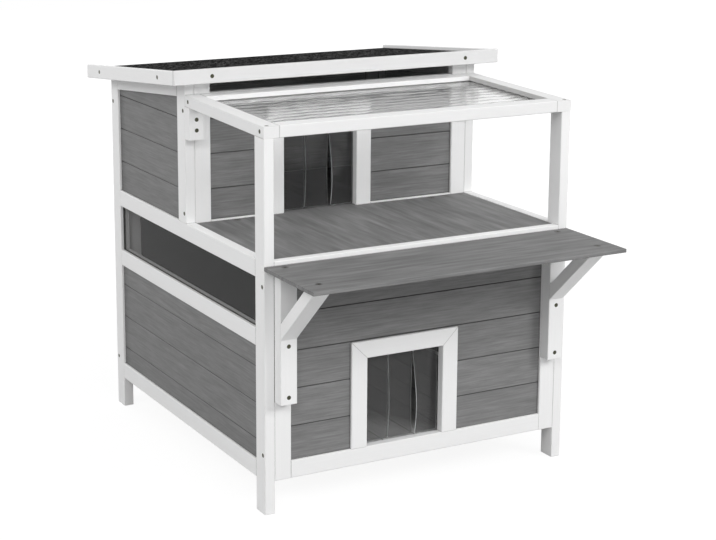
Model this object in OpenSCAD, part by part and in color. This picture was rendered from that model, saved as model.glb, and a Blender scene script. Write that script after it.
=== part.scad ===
// Two storey wooden cat house in millimetres, +Z up, standing on four legs.
// The front faces -Y. The origin lies on the ground, under the middle of the whole outline.
// Inside the modules, x runs from the outer face of the left side, y from the front face of the front posts,
// and placed() carries that corner to its place beside the origin.

/* [House] */
// Width over the outer faces of the two sides
house_w = 750; // [680:10:900]
// Depth over the front and back posts
house_d = 830; // [760:10:1000]
// Clear height under the bottom rails
leg_h = 72; // [40:1:110]
// Clear height of the planks between the bottom rail and the window sill
lower_wall_h = 250; // [230:1:320]
// Clear height of the side windows
window_h = 109; // [70:1:150]
// Depth of the terrace, from the front face to the upper front wall
terrace_d = 392; // [300:1:460]
// Height of the planks between the trim and the top rail, over the upper doorway
lintel_h = 16.5; // [8:0.5:90]

/* [Battens] */
// Thickness of the side battens, seen from the front
side_t = 23; // [20:1:32]
// Thickness of the front and back battens, seen from the side
front_t = 20; // [20:1:28]
// Width of the posts, seen from the side
post_w = 42; // [34:1:56]
// Width of the rails and stiles
rail_w = 38; // [30:1:46]
// Width of the chamfer along the edges of the battens
ease = 1; // [0.5:0.1:1.5]

/* [Planks] */
// Thickness of the tongued planks
plank_t = 10; // [8:0.5:12]
// Depth of the planks behind the face of the frame
plank_recess = 6; // [2:0.5:6]
// Height that one plank covers on the sides, the back and the upper front
plank_w = 79.5; // [60:0.5:110]
// Height that one plank covers on the lower front
front_plank_w = 82; // [60:0.5:110]
// Height of the first seam above the bottom rails, on the lower sides and back
side_seam = 42; // [30:1:60]
// Height of the first seam above the bottom rail, on the lower front
front_seam = 74; // [40:1:78]
// Height of the first seam above the deck rails
upper_seam = 72; // [40:1:78]
// Depth of the grooves that hold the plank ends
groove_d = 8; // [4:0.5:12]
// Thickness of a tongue
tongue_t = 3; // [2:0.5:4]
// Height of a tongue
tongue_h = 5; // [3:0.5:7]
// Bevel along both edges of the visible face, which makes the dark seam
seam_bevel = 1.5; // [0.5:0.1:2]

/* [Doorways] */
// Left edge of both doorways, from the outer face of the left side
door_x = 243; // [140:1:300]
// Width of both doorways
door_w = 188; // [150:1:220]
// Height of both doorways
door_h = 198; // [150:1:225]
// Width of the mitred trim round a doorway
trim_w = 38; // [24:1:46]

/* [Floors] */
// Thickness of the floor and of the deck
board_t = 9; // [6:0.5:14]
// Depth of the deck surface below the deck rails
deck_drop = 1.5; // [0:0.5:8]
// Depth of the floor surface below the bottom rails
floor_drop = 6; // [0:0.5:10]
// Height of the bearers under the floor
bearer_h = 22; // [14:1:23]
// Height of the ledgers and the bearer under the deck
ledger_w = 18; // [16:1:26]
// Height of the thin batten under the upper front planks
sill_strip_h = 3.5; // [3:0.5:12]

/* [Windows] */
// Thickness of the clear window pane
pane_t = 2; // [1.5:0.5:4]
// Depth of the groove round the window, which the pane stands in
pane_seat = 6; // [3:0.5:8]
// Distance of the pane's inner face behind the outer face of the side
pane_in = 12; // [9:0.5:14]
// Width of the slit that the groove leaves open in front of the pane
pane_slit = 3; // [0:0.5:4]

/* [Roof] */
// Fall of the roof towards the back, in degrees
roof_pitch = 5.6; // [2:0.1:8]
// Overhang beyond each side
side_overhang = 40; // [20:1:70]
// Overhang in front of the upper front wall
front_overhang = 38; // [20:1:60]
// Overhang behind the back wall
back_overhang = 52; // [44:1:80]
// Thickness of the roof board
roof_board_t = 12; // [8:1:18]
// Thickness of the mineral felt
felt_t = 2; // [1:0.5:4]
// Thickness of the adhesive between the roof board and the felt
felt_bed = 0.1; // [0.1:0.1:0.5]
// Height of the fascia boards
fascia_h = 32; // [24:1:36]
// Thickness of the fascia boards
fascia_t = 10; // [8:1:14]
// Height by which the fascia stands over the felt
fascia_lip = 8; // [2:0.5:12]
// Height of the vent between the upper front wall and the roof
vent_h = 33; // [20:1:44]

/* [Canopy] */
// Depth of the back of the canopy below the upper edge of the upper top rail
canopy_drop = 0.8; // [0.6:0.1:15]
// Fall of the canopy towards the front, in degrees
canopy_fall = 1.2; // [0:0.1:1.6]
// Height of the canopy rails
canopy_rail_h = 25; // [20:1:28]
// Width of the canopy rails
canopy_rail_w = 36; // [28:1:46]
// Thickness of the corrugated sheet
sheet_t = 1.5; // [1:0.1:2.5]
// Distance between two ribs of the sheet
wave_pitch = 32; // [24:1:60]
// Height of the ribs, from valley to crest
wave_h = 3; // [2:0.5:8]
// Depth of the groove that holds the sheet
sheet_seat = 8; // [4:0.5:14]
// Height of the sheet's underside over the underside of the rails
sheet_up = 10; // [3:0.5:13]
// Thickness of the cleats that carry the back of the canopy
cleat_t = 24; // [14:1:30]
// Height of the cleats
cleat_h = 72; // [40:1:110]

/* [Shelf] */
// Reach of the front shelf
shelf_d = 217; // [196:1:300]
// Thickness of the front shelf
shelf_t = 8; // [6:0.5:14]
// Depth of the shelf surface below the deck rail
shelf_drop = 9; // [0:0.5:16]
// Width of the brackets
bracket_w = 38; // [28:1:50]
// Thickness of the upright board of a bracket
bracket_t = 28; // [18:1:34]
// Height of the upright board of a bracket
bracket_h = 283; // [220:1:340]
// Reach of the strut, from the upright board to its toe under the shelf
strut_run = 157; // [120:1:160]
// Rise of the strut, from its heel to the shelf
strut_rise = 143; // [110:1:180]
// Height of the strut's heel on the upright board
strut_heel = 36; // [20:1:46]

/* [Curtains] */
// Strips in each doorway
strip_count = 3; // [3:1:3]
// Thickness of a strip
strip_t = 2; // [1:0.5:3]
// Gap between neighbouring strips and beside the jambs
strip_gap = 1; // [0.5:0.1:2]
// Gap between a strip and the sill
strip_foot = 2; // [1:0.5:6]
// Distance from the back of the wall to the face of the strips
strip_back = 2; // [1.5:0.5:6]
// Radius of the lower corners of a strip
strip_corner = 5; // [1:0.5:12]
// Depth of the batten that carries the strips
curtain_batten_d = 14; // [10:1:20]
// Height of the batten that carries the strips
curtain_batten_h = 20; // [14:1:24]
// Length of the batten beyond each side of the doorway
curtain_batten_end = 15; // [4:1:30]

/* [Screws] */
// Radius of a countersunk head
head_r = 4.5; // [3:0.1:5]
// Radius of a shank
shank_r = 1.8; // [1.4:0.1:2]
// Length by which a screw enters the second piece
bite = 14; // [8:1:14]
// Depth of a head under the face around it
head_sink = 0.3; // [0:0.1:0.6]
// Width of the cross recess
cross_w = 0.9; // [0.6:0.1:1.2]
// Depth of the cross recess
cross_d = 1.4; // [0.8:0.1:1.8]

/* [Hinges] */
// Width of a roof hinge
hinge_w = 60; // [40:1:90]
// Length of a hinge leaf from the pin
leaf_l = 26; // [18:1:34]
// Thickness of a hinge leaf
leaf_t = 1.5; // [1:0.1:2.5]
// Outer radius of the knuckles
knuckle_r = 3; // [2.5:0.1:4]
// Radius of the hinge pin
pin_r = 1.4; // [1:0.1:1.8]
// Play round the hinge pin
pin_play = 0.08; // [0.05:0.01:0.1]
// Distance from each side to the middle of its hinge
hinge_inset = 165; // [110:1:240]

/* [Fits] */
// Clearance of a plank, pane, board or sheet in its groove
fit = 0.2; // [0.1:0.05:0.4]
// Clearance between the roof and the walls that it lies on
lid_gap = 0.3; // [0.2:0.05:0.5]
// Clearance between two pieces that turn on each other
turn_gap = 0.3; // [0.2:0.05:0.5]

/* [Hidden] */

// Paint and material colours, as the finished object shows them
white_paint = "#e9e9e9";
grey_stain = "#7d7d7d";
black_felt = "#343434";
clear_pvc = "#dde4e6";
zinc_steel = "#8d9092";

// Levels of the frame, from the ground up
bottom_z = leg_h;
bottom_top = bottom_z + rail_w;
sill_z = bottom_top + lower_wall_h;
sill_top = sill_z + rail_w;
deck_rail_z = sill_top + window_h;
deck_rail_top = deck_rail_z + rail_w;
floor_z = bottom_top - floor_drop;
deck_z = deck_rail_top - deck_drop;
upper_rail_z = deck_z + door_h + trim_w + lintel_h;
upper_rail_top = upper_rail_z + rail_w;
seat_z = upper_rail_top + vent_h;
canopy_z = upper_rail_top - canopy_drop - canopy_rail_h - terrace_d * tan(canopy_fall);
shelf_z = deck_rail_top - shelf_drop;

// Heights of the felt and of the fascia over the underside of the roof board
felt_low = roof_board_t + felt_bed;
fascia_top = felt_low + felt_t + fascia_lip;

// Outline of the roof and middle of the whole object from front to back
roof_front = terrace_d - front_overhang;
roof_back = house_d + back_overhang;
middle_y = (roof_back - shelf_d) / 2;

// Width of one strip, and the line that it turns on behind its wall
strip_w = (door_w - (strip_count + 1) * strip_gap) / strip_count;
pivot_back = front_t + strip_back + strip_t / 2;
pivot_drop = strip_t / 2 + turn_gap + 1.5;

// Line that the roof turns on, behind the back wall and under the roof board
hinge_y = house_d + knuckle_r + turn_gap;
hinge_z = roof_z(hinge_y) - knuckle_r - turn_gap;
knuckle_w = (hinge_w - 2 * turn_gap) / 3;

// Places of the screws on the outer face of the left side, as y and z
lower_side_screws = [[front_t / 2, deck_rail_z - 15], [front_t / 2, bottom_top + 19]];
upper_side_screws = [
    [terrace_d + front_t / 2, upper_rail_top - 37], [terrace_d + front_t / 2, deck_rail_top + 21]
];
back_side_screws = [
    [house_d - front_t / 2, roof_z(house_d) - 66], [house_d - front_t / 2, bottom_top + 11]
];
canopy_side_screws = [for (y = [canopy_rail_w / 2, terrace_d - canopy_rail_w / 2])
    [y, canopy_under(y) + canopy_rail_h / 2]];
fascia_side_screws = [for (y = [roof_front + 94, roof_back - 80]) [y, roof_z(y) + roof_board_t / 2]];
// Places of the screws that are driven in from the front on the left half, as x and z
bracket_screws = [for (z = [shelf_z - shelf_t - strut_rise - 15, shelf_z - shelf_t - bracket_h + 15])
    [side_t + bracket_w / 2, z]];
cleat_screws = [for (share = [0.37, 0.7])
    [canopy_rail_w / 2, canopy_under(terrace_d - cleat_t) - share * cleat_h]];
fascia_front_screws = [[50, roof_z(roof_front) + roof_board_t / 2]];
// Places of the screws that are driven in from above on the left half, as x and y
shelf_screws = [for (y = [0.68 * bracket_t, bracket_t + strut_run - strut_run * strut_heel / strut_rise / 2])
    [side_t + 0.4 * bracket_w, -y]];
canopy_top_screws = [[side_t / 2, canopy_rail_w / 4]];
deck_screws = [[121, terrace_d - 11]];

// A ripped plank is never narrower than this
least_plank = 12;
// Steps of the sine curve in one rib of the corrugated sheet
wave_steps = 10;

// Height of the underside of the roof board at a distance y from the front
function roof_z(y) = seat_z - (y - terrace_d) * tan(roof_pitch);

// Height of the underside of the canopy rails at a distance y from the front
function canopy_under(y) = canopy_z + y * tan(canopy_fall);

// Heights of the plank edges between lo and hi, with seams every step from the first one up
function plank_edges(lo, hi, first, step) = concat(
    [lo],
    [for (z = [first : step : hi - least_plank]) if (z > lo + least_plank) z],
    [hi]
);

// Outline of one plank, with its depth along x and its height along y: bevelled visible edges, a groove below
// unless it is the lowest, and a tongue on top unless it is the highest
function plank_outline(lo, hi, lowest, highest) = let (
    gap = fit / 2,
    foot = lowest ? lo : lo + gap,
    head = highest ? hi : hi - gap,
    near = plank_t / 2 - tongue_t / 2,
    far = plank_t / 2 + tongue_t / 2,
    tongue = highest ? [] : [[near, head], [near, hi + tongue_h], [far, hi + tongue_h], [far, head]],
    roof = lo + tongue_h + fit,
    groove = lowest ? [] : [[far + fit, foot], [far + fit, roof], [near - fit, roof], [near - fit, foot]]
) concat(
    [[0, foot + seam_bevel], [0, head - seam_bevel], [seam_bevel, head]],
    tongue,
    [[plank_t, head], [plank_t, foot]],
    groove,
    [[seam_bevel, foot]]
);

// Carries the corner of the house to its place beside the origin
module placed() {
    translate([-house_w / 2, -middle_y, 0]) children();
}

// Turns a left piece into its right counterpart
module other_side() {
    translate([house_w, 0, 0]) mirror([1, 0, 0]) children();
}

// Block between two corners
module block(low, high) {
    translate(low) cube(high - low);
}

// Rectangle between two corners, with its own corners cut off by the chamfer
module eased_outline(a, b) {
    polygon([
        [a[0] + ease, a[1]], [b[0] - ease, a[1]], [b[0], a[1] + ease], [b[0], b[1] - ease],
        [b[0] - ease, b[1]], [a[0] + ease, b[1]], [a[0], b[1] - ease], [a[0], a[1] + ease]
    ]);
}

// Battens between two corners that run along x, y or z and have chamfered long edges
module batten_x(low, high) {
    along_x(low[0], high[0]) eased_outline([low[1], low[2]], [high[1], high[2]]);
}
module batten_y(low, high) {
    along_y(low[1], high[1]) eased_outline([low[0], low[2]], [high[0], high[2]]);
}
module batten_z(low, high) {
    translate([0, 0, low[2]]) linear_extrude(high[2] - low[2])
        eased_outline([low[0], low[1]], [high[0], high[1]]);
}

// Extrudes an outline drawn in y and z along x
module along_x(x0, x1) {
    translate([x0, 0, 0]) rotate([90, 0, 90]) linear_extrude(x1 - x0) children();
}

// Extrudes an outline drawn in x and z along y
module along_y(y0, y1) {
    translate([0, y1, 0]) rotate([90, 0, 0]) linear_extrude(y1 - y0) children();
}

// Piece that follows the roof from y0 to y1, between two heights over the underside of the roof board
module roof_slab(x0, x1, y0, y1, low, high) {
    along_x(x0, x1) polygon([
        [y0, roof_z(y0) + low], [y1, roof_z(y1) + low], [y1, roof_z(y1) + high], [y0, roof_z(y0) + high]
    ]);
}

// Piece that follows the canopy from y0 to y1, between two heights over the underside of its rails
module canopy_slab(x0, x1, y0, y1, low, high) {
    along_x(x0, x1) polygon([
        [y0, canopy_under(y0) + low], [y1, canopy_under(y1) + low],
        [y1, canopy_under(y1) + high], [y0, canopy_under(y0) + high]
    ]);
}

// Keeps what lies under the plane of the roof, less the gap between walls and roof
module under_roof() {
    near = terrace_d - 1;
    far = house_d + 1;
    intersection() {
        children();
        along_x(-1, house_w + 1) polygon([
            [near, -1], [far, -1], [far, roof_z(far) - lid_gap], [near, roof_z(near) - lid_gap]
        ]);
    }
}

// Keeps what lies under the plane of the canopy
module under_canopy() {
    far = terrace_d + 1;
    intersection() {
        children();
        along_x(-1, house_w + 1)
            polygon([[-1, -1], [far, -1], [far, canopy_under(far)], [-1, canopy_under(-1)]]);
    }
}

// Upright batten from a level height up to the roof
module roof_upright(x0, x1, y0, y1, low) {
    under_roof() batten_z([x0, y0, low], [x1, y1, seat_z + 1]);
}

// Sloping batten under the plane of the roof, or along its edge, between two heights over that plane
module roof_batten(x0, x1, y0, y1, low, high) {
    run = roof_back - roof_front;
    square_on = cos(roof_pitch);
    intersection() {
        translate([0, terrace_d, seat_z]) rotate([-roof_pitch, 0, 0])
            batten_y([x0, -run, low * square_on], [x1, run, high * square_on]);
        block([x0 - 1, y0, 0], [x1 + 1, y1, 2 * seat_z]);
    }
}

// Countersunk screw with its head at the origin, driven in along +z
module screw(length) {
    neck = head_sink + head_r - shank_r;
    difference() {
        rotate_extrude($fn = 32) polygon([
            [0, head_sink], [head_r, head_sink], [shank_r, neck],
            [shank_r, length - 2 * shank_r], [shank_r / 4, length], [0, length]
        ]);
        for (turn = [0, 90])
            rotate([0, 0, turn]) translate([-0.6 * head_r, -cross_w / 2, 0]) cube([1.2 * head_r, cross_w, cross_d]);
    }
}

// Countersunk hole for a screw, which runs out of the face around it
module screw_hole(length) {
    wide = head_r + fit;
    narrow = shank_r + fit;
    rotate_extrude($fn = 32) polygon([
        [0, -1], [wide, -1], [wide, head_sink], [narrow, head_sink + wide - narrow],
        [narrow, length + 1], [0, length + 1]
    ]);
}

// A screw or its hole at each place of a list: driven in along x, y or down
module set_screws(kind, length) {
    if (kind == "hole") screw_hole(length);
    else screw(length);
}
module along_x_screws(kind, x, places, length) {
    for (p = places) translate([x, p[0], p[1]]) rotate([0, 90, 0]) set_screws(kind, length);
}
module along_y_screws(kind, y, places, length) {
    for (p = places) translate([p[0], y, p[1]]) rotate([-90, 0, 0]) set_screws(kind, length);
}
module down_screws(kind, z, places, length) {
    for (p = places) translate([p[0], p[1], z]) rotate([180, 0, 0]) set_screws(kind, length);
}

// Screws, or their holes, of the left half: in the side, in the canopy, in the bracket and in the cleat
module side_screw_set(kind) {
    along_x_screws(kind, 0, concat(lower_side_screws, upper_side_screws, back_side_screws), side_t + bite);
}
module canopy_screw_set(kind) {
    along_x_screws(kind, 0, canopy_side_screws, canopy_rail_w + bite);
    down_screws(
        kind, canopy_under(canopy_rail_w / 4) + canopy_rail_h, canopy_top_screws, canopy_rail_h + bite
    );
}
module bracket_screw_set(kind) {
    along_y_screws(kind, -bracket_t, bracket_screws, bracket_t + bite);
}
module cleat_screw_set(kind) {
    along_y_screws(kind, terrace_d - cleat_t, cleat_screws, cleat_t + bite);
}
module shelf_screw_set(kind) {
    down_screws(kind, shelf_z, shelf_screws, shelf_t + bite);
}
module deck_screw_set(kind) {
    down_screws(kind, deck_z, deck_screws, board_t + bite);
}
module fascia_screw_set(kind) {
    along_x_screws(kind, -side_overhang, fascia_side_screws, fascia_t + bite);
    along_y_screws(kind, roof_front, fascia_front_screws, fascia_t + bite);
}

// Tongued planks that run along x and show their bevelled face towards -y
module plank_stack(length, edges) {
    last = len(edges) - 2;
    for (i = [0 : last])
        along_x(0, length) polygon(plank_outline(edges[i], edges[i + 1], i == 0, i == last));
}

// Space of the lower side planks, grown by a clearance
module side_lower_space(grow) {
    block(
        [plank_recess - grow, post_w - groove_d - grow, bottom_top - groove_d - grow],
        [plank_recess + plank_t + grow, house_d - post_w + groove_d + grow, sill_z + groove_d + grow]
    );
}

// Space of the upper side planks, whose top follows the roof, grown by a clearance
module side_upper_space(grow) {
    y0 = terrace_d + post_w - groove_d - grow;
    y1 = house_d - post_w + groove_d + grow;
    low = deck_rail_top - groove_d - grow;
    high = groove_d - rail_w + grow;
    along_x(plank_recess - grow, plank_recess + plank_t + grow)
        polygon([[y0, low], [y1, low], [y1, roof_z(y1) + high], [y0, roof_z(y0) + high]]);
}

// Groove round a side window, which is wider than the pane by a slit in front of it
module window_groove() {
    depth = pane_seat + fit;
    block(
        [pane_in - pane_t - pane_slit, post_w - depth, sill_top - depth],
        [pane_in + fit, house_d - post_w + depth, deck_rail_z + depth]
    );
}

// Window pane, which stands against the inner cheek of its groove
module window_pane() {
    block(
        [pane_in - pane_t, post_w - pane_seat, sill_top - pane_seat],
        [pane_in, house_d - post_w + pane_seat, deck_rail_z + pane_seat]
    );
}

// Space of the planks in a front wall that stands at y, between two heights, with the doorway and its trim
// left out
module front_space(y, low, high, sill, grow) {
    inset = side_t + rail_w - groove_d - grow;
    hole = trim_w - groove_d - grow;
    difference() {
        block([inset, y + plank_recess - grow, low], [house_w - inset, y + plank_recess + plank_t + grow, high]);
        block([door_x - hole, y, low - 1], [door_x + door_w + hole, y + front_t, sill + door_h + hole]);
    }
}

// Groove in the left stile of a front wall that stands at y, between two heights
module wall_edge_space(low, high, y) {
    inset = side_t + rail_w - groove_d - fit;
    block(
        [inset, y + plank_recess - fit, low - fit],
        [inset + rail_w, y + plank_recess + plank_t + fit, high + fit]
    );
}

module lower_front_space(grow) {
    front_space(0, bottom_top - groove_d - grow, deck_rail_z + groove_d + grow, bottom_top, grow);
}

module upper_front_space(grow) {
    front_space(terrace_d, deck_z + sill_strip_h, upper_rail_z + groove_d + grow, deck_z, grow);
}

// Space of the back planks under and over the rail at the height of the deck, grown by a clearance
module back_space(grow) {
    inset = side_t + rail_w - groove_d - grow;
    y0 = house_d - plank_recess - plank_t - grow;
    y1 = house_d - plank_recess + grow;
    high = groove_d - rail_w + grow;
    upper = deck_rail_top - groove_d - grow;
    block([inset, y0, bottom_top - groove_d - grow], [house_w - inset, y1, deck_rail_z + groove_d + grow]);
    along_x(inset, house_w - inset)
        polygon([[y0, upper], [y1, upper], [y1, roof_z(y1) + high], [y0, roof_z(y0) + high]]);
}

// Space of the corrugated sheet in the canopy rails, grown by a clearance
module sheet_space(grow) {
    inset = canopy_rail_w - sheet_seat - grow;
    canopy_slab(
        inset, house_w - inset, inset, terrace_d - inset,
        sheet_up - grow, sheet_up + wave_h + sheet_t + grow
    );
}

// Front post of a side, from the ground to the canopy
module front_post() {
    difference() {
        under_canopy() batten_z([0, 0, 0], [side_t, post_w, canopy_under(post_w) + 1]);
        side_lower_space(fit);
        window_groove();
        side_screw_set("hole");
        canopy_screw_set("hole");
    }
}

// Back post of a side, from the ground to the roof
module back_post() {
    difference() {
        roof_upright(0, side_t, house_d - post_w, house_d, 0);
        side_lower_space(fit);
        window_groove();
        side_upper_space(fit);
        side_screw_set("hole");
    }
}

// Bottom rail, window sill and deck rail of a side
module side_rails() {
    difference() {
        for (z = [bottom_z, sill_z, deck_rail_z])
            batten_y([0, post_w, z], [side_t, house_d - post_w, z + rail_w]);
        side_lower_space(fit);
        window_groove();
        side_upper_space(fit);
    }
}

// Stile at the front of an upper side, and the rail under the roof
module side_upper_frame() {
    stile_back = terrace_d + post_w;
    difference() {
        union() {
            roof_upright(0, side_t, terrace_d, stile_back, deck_rail_top);
            roof_batten(0, side_t, stile_back + fit, house_d - post_w, -rail_w, -lid_gap);
        }
        side_upper_space(fit);
        side_screw_set("hole");
        cleat_screw_set("hole");
    }
}

module side_lower_planks() {
    edges = plank_edges(
        bottom_top - groove_d, sill_z + groove_d, bottom_top + side_seam, plank_w
    );
    first = post_w - groove_d;
    translate([plank_recess, house_d - first, 0]) rotate([0, 0, -90])
        plank_stack(house_d - 2 * first, edges);
}

module side_upper_planks() {
    first = terrace_d + post_w - groove_d;
    last = house_d - post_w + groove_d;
    edges = plank_edges(
        deck_rail_top - groove_d, roof_z(first), deck_rail_top + upper_seam, plank_w
    );
    intersection() {
        translate([plank_recess, last, 0]) rotate([0, 0, -90]) plank_stack(last - first, edges);
        side_upper_space(0);
    }
}

// Stile of the lower front, from the bottom edge to the deck rail
module lower_stile() {
    difference() {
        batten_z([side_t, 0, bottom_z], [side_t + rail_w, front_t, deck_rail_z]);
        wall_edge_space(bottom_top - groove_d, deck_rail_z + groove_d, 0);
        side_screw_set("hole");
        bracket_screw_set("hole");
    }
}

// Mitred jambs and head round a doorway in a wall that stands at y
module door_trim(y, sill) {
    left = door_x;
    right = door_x + door_w;
    head = sill + door_h;
    top = head + trim_w;
    back = y + front_t;
    difference() {
        union() {
            batten_z([left - trim_w, y, sill], [left, back, top]);
            batten_z([right, y, sill], [right + trim_w, back, top]);
        }
        along_y(y - 1, back + 1) polygon([[left, head], [right, head], [right + trim_w, top], [left - trim_w, top]]);
    }
    intersection() {
        batten_x([left - trim_w, y, head], [right + trim_w, back, top]);
        along_y(y - 1, back + 1) polygon([
            [left + fit, head], [right - fit, head], [right + trim_w - fit, top], [left - trim_w + fit, top]
        ]);
    }
}

// Stile of the upper front, from the deck to the roof
module upper_stile() {
    difference() {
        roof_upright(side_t, side_t + rail_w, terrace_d, terrace_d + front_t, deck_z);
        wall_edge_space(deck_z + sill_strip_h + fit, upper_rail_z + groove_d, terrace_d);
        side_screw_set("hole");
    }
}

// Batten behind the head of a doorway, which holds the tops of the strips
module curtain_batten(y, sill) {
    low = sill + door_h - pivot_drop + strip_t / 2 + turn_gap;
    batten_x(
        [door_x - curtain_batten_end, y + front_t, low],
        [door_x + door_w + curtain_batten_end, y + front_t + curtain_batten_d, low + curtain_batten_h]
    );
}

// One strip with a round top on its turning line and rounded lower corners
module curtain_strip(y, sill, index) {
    x0 = door_x + strip_gap + index * (strip_w + strip_gap);
    pivot_y = y + pivot_back;
    pivot_z = sill + door_h - pivot_drop;
    foot = sill + strip_foot;
    translate([x0, pivot_y, pivot_z]) rotate([0, 90, 0]) cylinder(h = strip_w, r = strip_t / 2, $fn = 32);
    along_y(pivot_y - strip_t / 2, pivot_y + strip_t / 2) {
        translate([x0, foot + strip_corner]) square([strip_w, pivot_z - foot - strip_corner]);
        translate([x0 + strip_corner, foot]) square([strip_w - 2 * strip_corner, strip_corner]);
        for (x = [x0 + strip_corner, x0 + strip_w - strip_corner])
            translate([x, foot + strip_corner]) circle(r = strip_corner, $fn = 32);
    }
}

// Upright board of a shelf bracket, fixed to the stile of the lower front
module bracket_board() {
    difference() {
        batten_z(
            [side_t, -bracket_t, shelf_z - shelf_t - bracket_h],
            [side_t + bracket_w, 0, shelf_z - shelf_t]
        );
        bracket_screw_set("hole");
        shelf_screw_set("hole");
    }
}

// Diagonal strut from the upright board to the underside of the shelf, cut flat at both ends
module bracket_strut() {
    top = shelf_z - shelf_t;
    climb = atan2(strut_rise, strut_run);
    far = 2 * strut_run;
    difference() {
        intersection() {
            translate([0, -bracket_t, top - strut_rise]) rotate([-climb, 0, 0])
                batten_y([side_t, -far, 0], [side_t + bracket_w, far, strut_heel * cos(climb)]);
            block([0, -bracket_t - far, 0], [house_w, -bracket_t, top]);
        }
        shelf_screw_set("hole");
    }
}

// Batten that carries the back end of a canopy side rail
module canopy_cleat() {
    near = terrace_d - cleat_t;
    difference() {
        under_canopy() batten_z(
            [0, near, canopy_under(near) - cleat_h], [canopy_rail_w, terrace_d, canopy_z + canopy_rail_h]
        );
        cleat_screw_set("hole");
    }
}

// Knuckle of a hinge, from x0 for a length
module knuckle(x0, length) {
    translate([x0, hinge_y, hinge_z]) rotate([0, 90, 0]) cylinder(h = length, r = knuckle_r, $fn = 40);
}

// Bore for the pin through a whole hinge
module pin_bore(x0) {
    translate([x0 - 1, hinge_y, hinge_z]) rotate([0, 90, 0])
        cylinder(h = hinge_w + 2, r = pin_r + pin_play, $fn = 40);
}

// Leaf on the back wall, with the two outer knuckles
module wall_leaf(x0) {
    difference() {
        union() {
            block(
                [x0, house_d, hinge_z - leaf_l],
                [x0 + hinge_w, house_d + leaf_t, hinge_z - knuckle_r - turn_gap]
            );
            for (x = [x0, x0 + 2 * (knuckle_w + turn_gap)]) {
                knuckle(x, knuckle_w);
                block([x, house_d, hinge_z - knuckle_r - 1], [x + knuckle_w, house_d + leaf_t, hinge_z]);
            }
        }
        pin_bore(x0);
    }
}

// Leaf under the overhang of the roof, with the middle knuckle
module roof_leaf(x0) {
    x = x0 + knuckle_w + turn_gap;
    clear = hinge_y + knuckle_r + turn_gap;
    difference() {
        union() {
            roof_slab(x0, x0 + hinge_w, clear, hinge_y + leaf_l, -leaf_t, 0);
            roof_slab(x, x + knuckle_w, hinge_y, clear + 1, -leaf_t, 0);
            knuckle(x, knuckle_w);
        }
        pin_bore(x0);
    }
}

module hinge_pin(x0) {
    translate([x0, hinge_y, hinge_z]) rotate([0, 90, 0]) cylinder(h = hinge_w, r = pin_r, $fn = 40);
}

// Left ends of the two roof hinges
hinge_places = [hinge_inset - hinge_w / 2, house_w - hinge_inset - hinge_w / 2];

// Nodes of the left side
module left_front_post() color(white_paint) placed() front_post();
module left_back_post() color(white_paint) placed() back_post();
module left_rails() color(white_paint) placed() side_rails();
module left_upper_frame() color(white_paint) placed() side_upper_frame();
module left_lower_planks() color(grey_stain) placed() side_lower_planks();
module left_upper_planks() color(grey_stain) placed() side_upper_planks();
module left_window_pane() color(clear_pvc) placed() window_pane();

// Nodes of the right side
module right_front_post() color(white_paint) placed() other_side() front_post();
module right_back_post() color(white_paint) placed() other_side() back_post();
module right_rails() color(white_paint) placed() other_side() side_rails();
module right_upper_frame() color(white_paint) placed() other_side() side_upper_frame();
module right_lower_planks() color(grey_stain) placed() other_side() side_lower_planks();
module right_upper_planks() color(grey_stain) placed() other_side() side_upper_planks();
module right_window_pane() color(clear_pvc) placed() other_side() window_pane();

// Nodes of the lower front
module front_left_stile() color(white_paint) placed() lower_stile();
module front_right_stile() color(white_paint) placed() other_side() lower_stile();
module front_bottom_rail() color(white_paint) placed() difference() {
    batten_x([side_t + rail_w, 0, bottom_z], [house_w - side_t - rail_w, front_t, bottom_top]);
    lower_front_space(fit);
}
module front_deck_rail() color(white_paint) placed() difference() {
    batten_x([side_t, 0, deck_rail_z], [house_w - side_t, front_t, deck_rail_top]);
    lower_front_space(fit);
}
module front_planks() color(grey_stain) placed() intersection() {
    translate([0, plank_recess, 0]) plank_stack(house_w, plank_edges(
        bottom_top - groove_d, deck_rail_z + groove_d, bottom_top + front_seam, front_plank_w
    ));
    lower_front_space(0);
}
module lower_door_trim() color(white_paint) placed() difference() {
    door_trim(0, bottom_top);
    lower_front_space(fit);
}

// Nodes of the upper front
module upper_left_stile() color(white_paint) placed() upper_stile();
module upper_right_stile() color(white_paint) placed() other_side() upper_stile();
module upper_top_rail() color(white_paint) placed() difference() {
    batten_x(
        [side_t + rail_w, terrace_d, upper_rail_z],
        [house_w - side_t - rail_w, terrace_d + front_t, upper_rail_top]
    );
    upper_front_space(fit);
}
module upper_sill_strip() color(white_paint) placed() {
    for (x = [[side_t + rail_w, door_x - trim_w], [door_x + door_w + trim_w, house_w - side_t - rail_w]])
        block([x[0], terrace_d, deck_z], [x[1], terrace_d + front_t, deck_z + sill_strip_h]);
}
module upper_front_planks() color(grey_stain) placed() intersection() {
    translate([0, terrace_d + plank_recess, 0]) plank_stack(house_w, plank_edges(
        deck_z + sill_strip_h, upper_rail_z + groove_d, deck_rail_top + upper_seam, plank_w
    ));
    upper_front_space(0);
}
module upper_door_trim() color(white_paint) placed() difference() {
    door_trim(terrace_d, deck_z);
    upper_front_space(fit);
}

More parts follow.
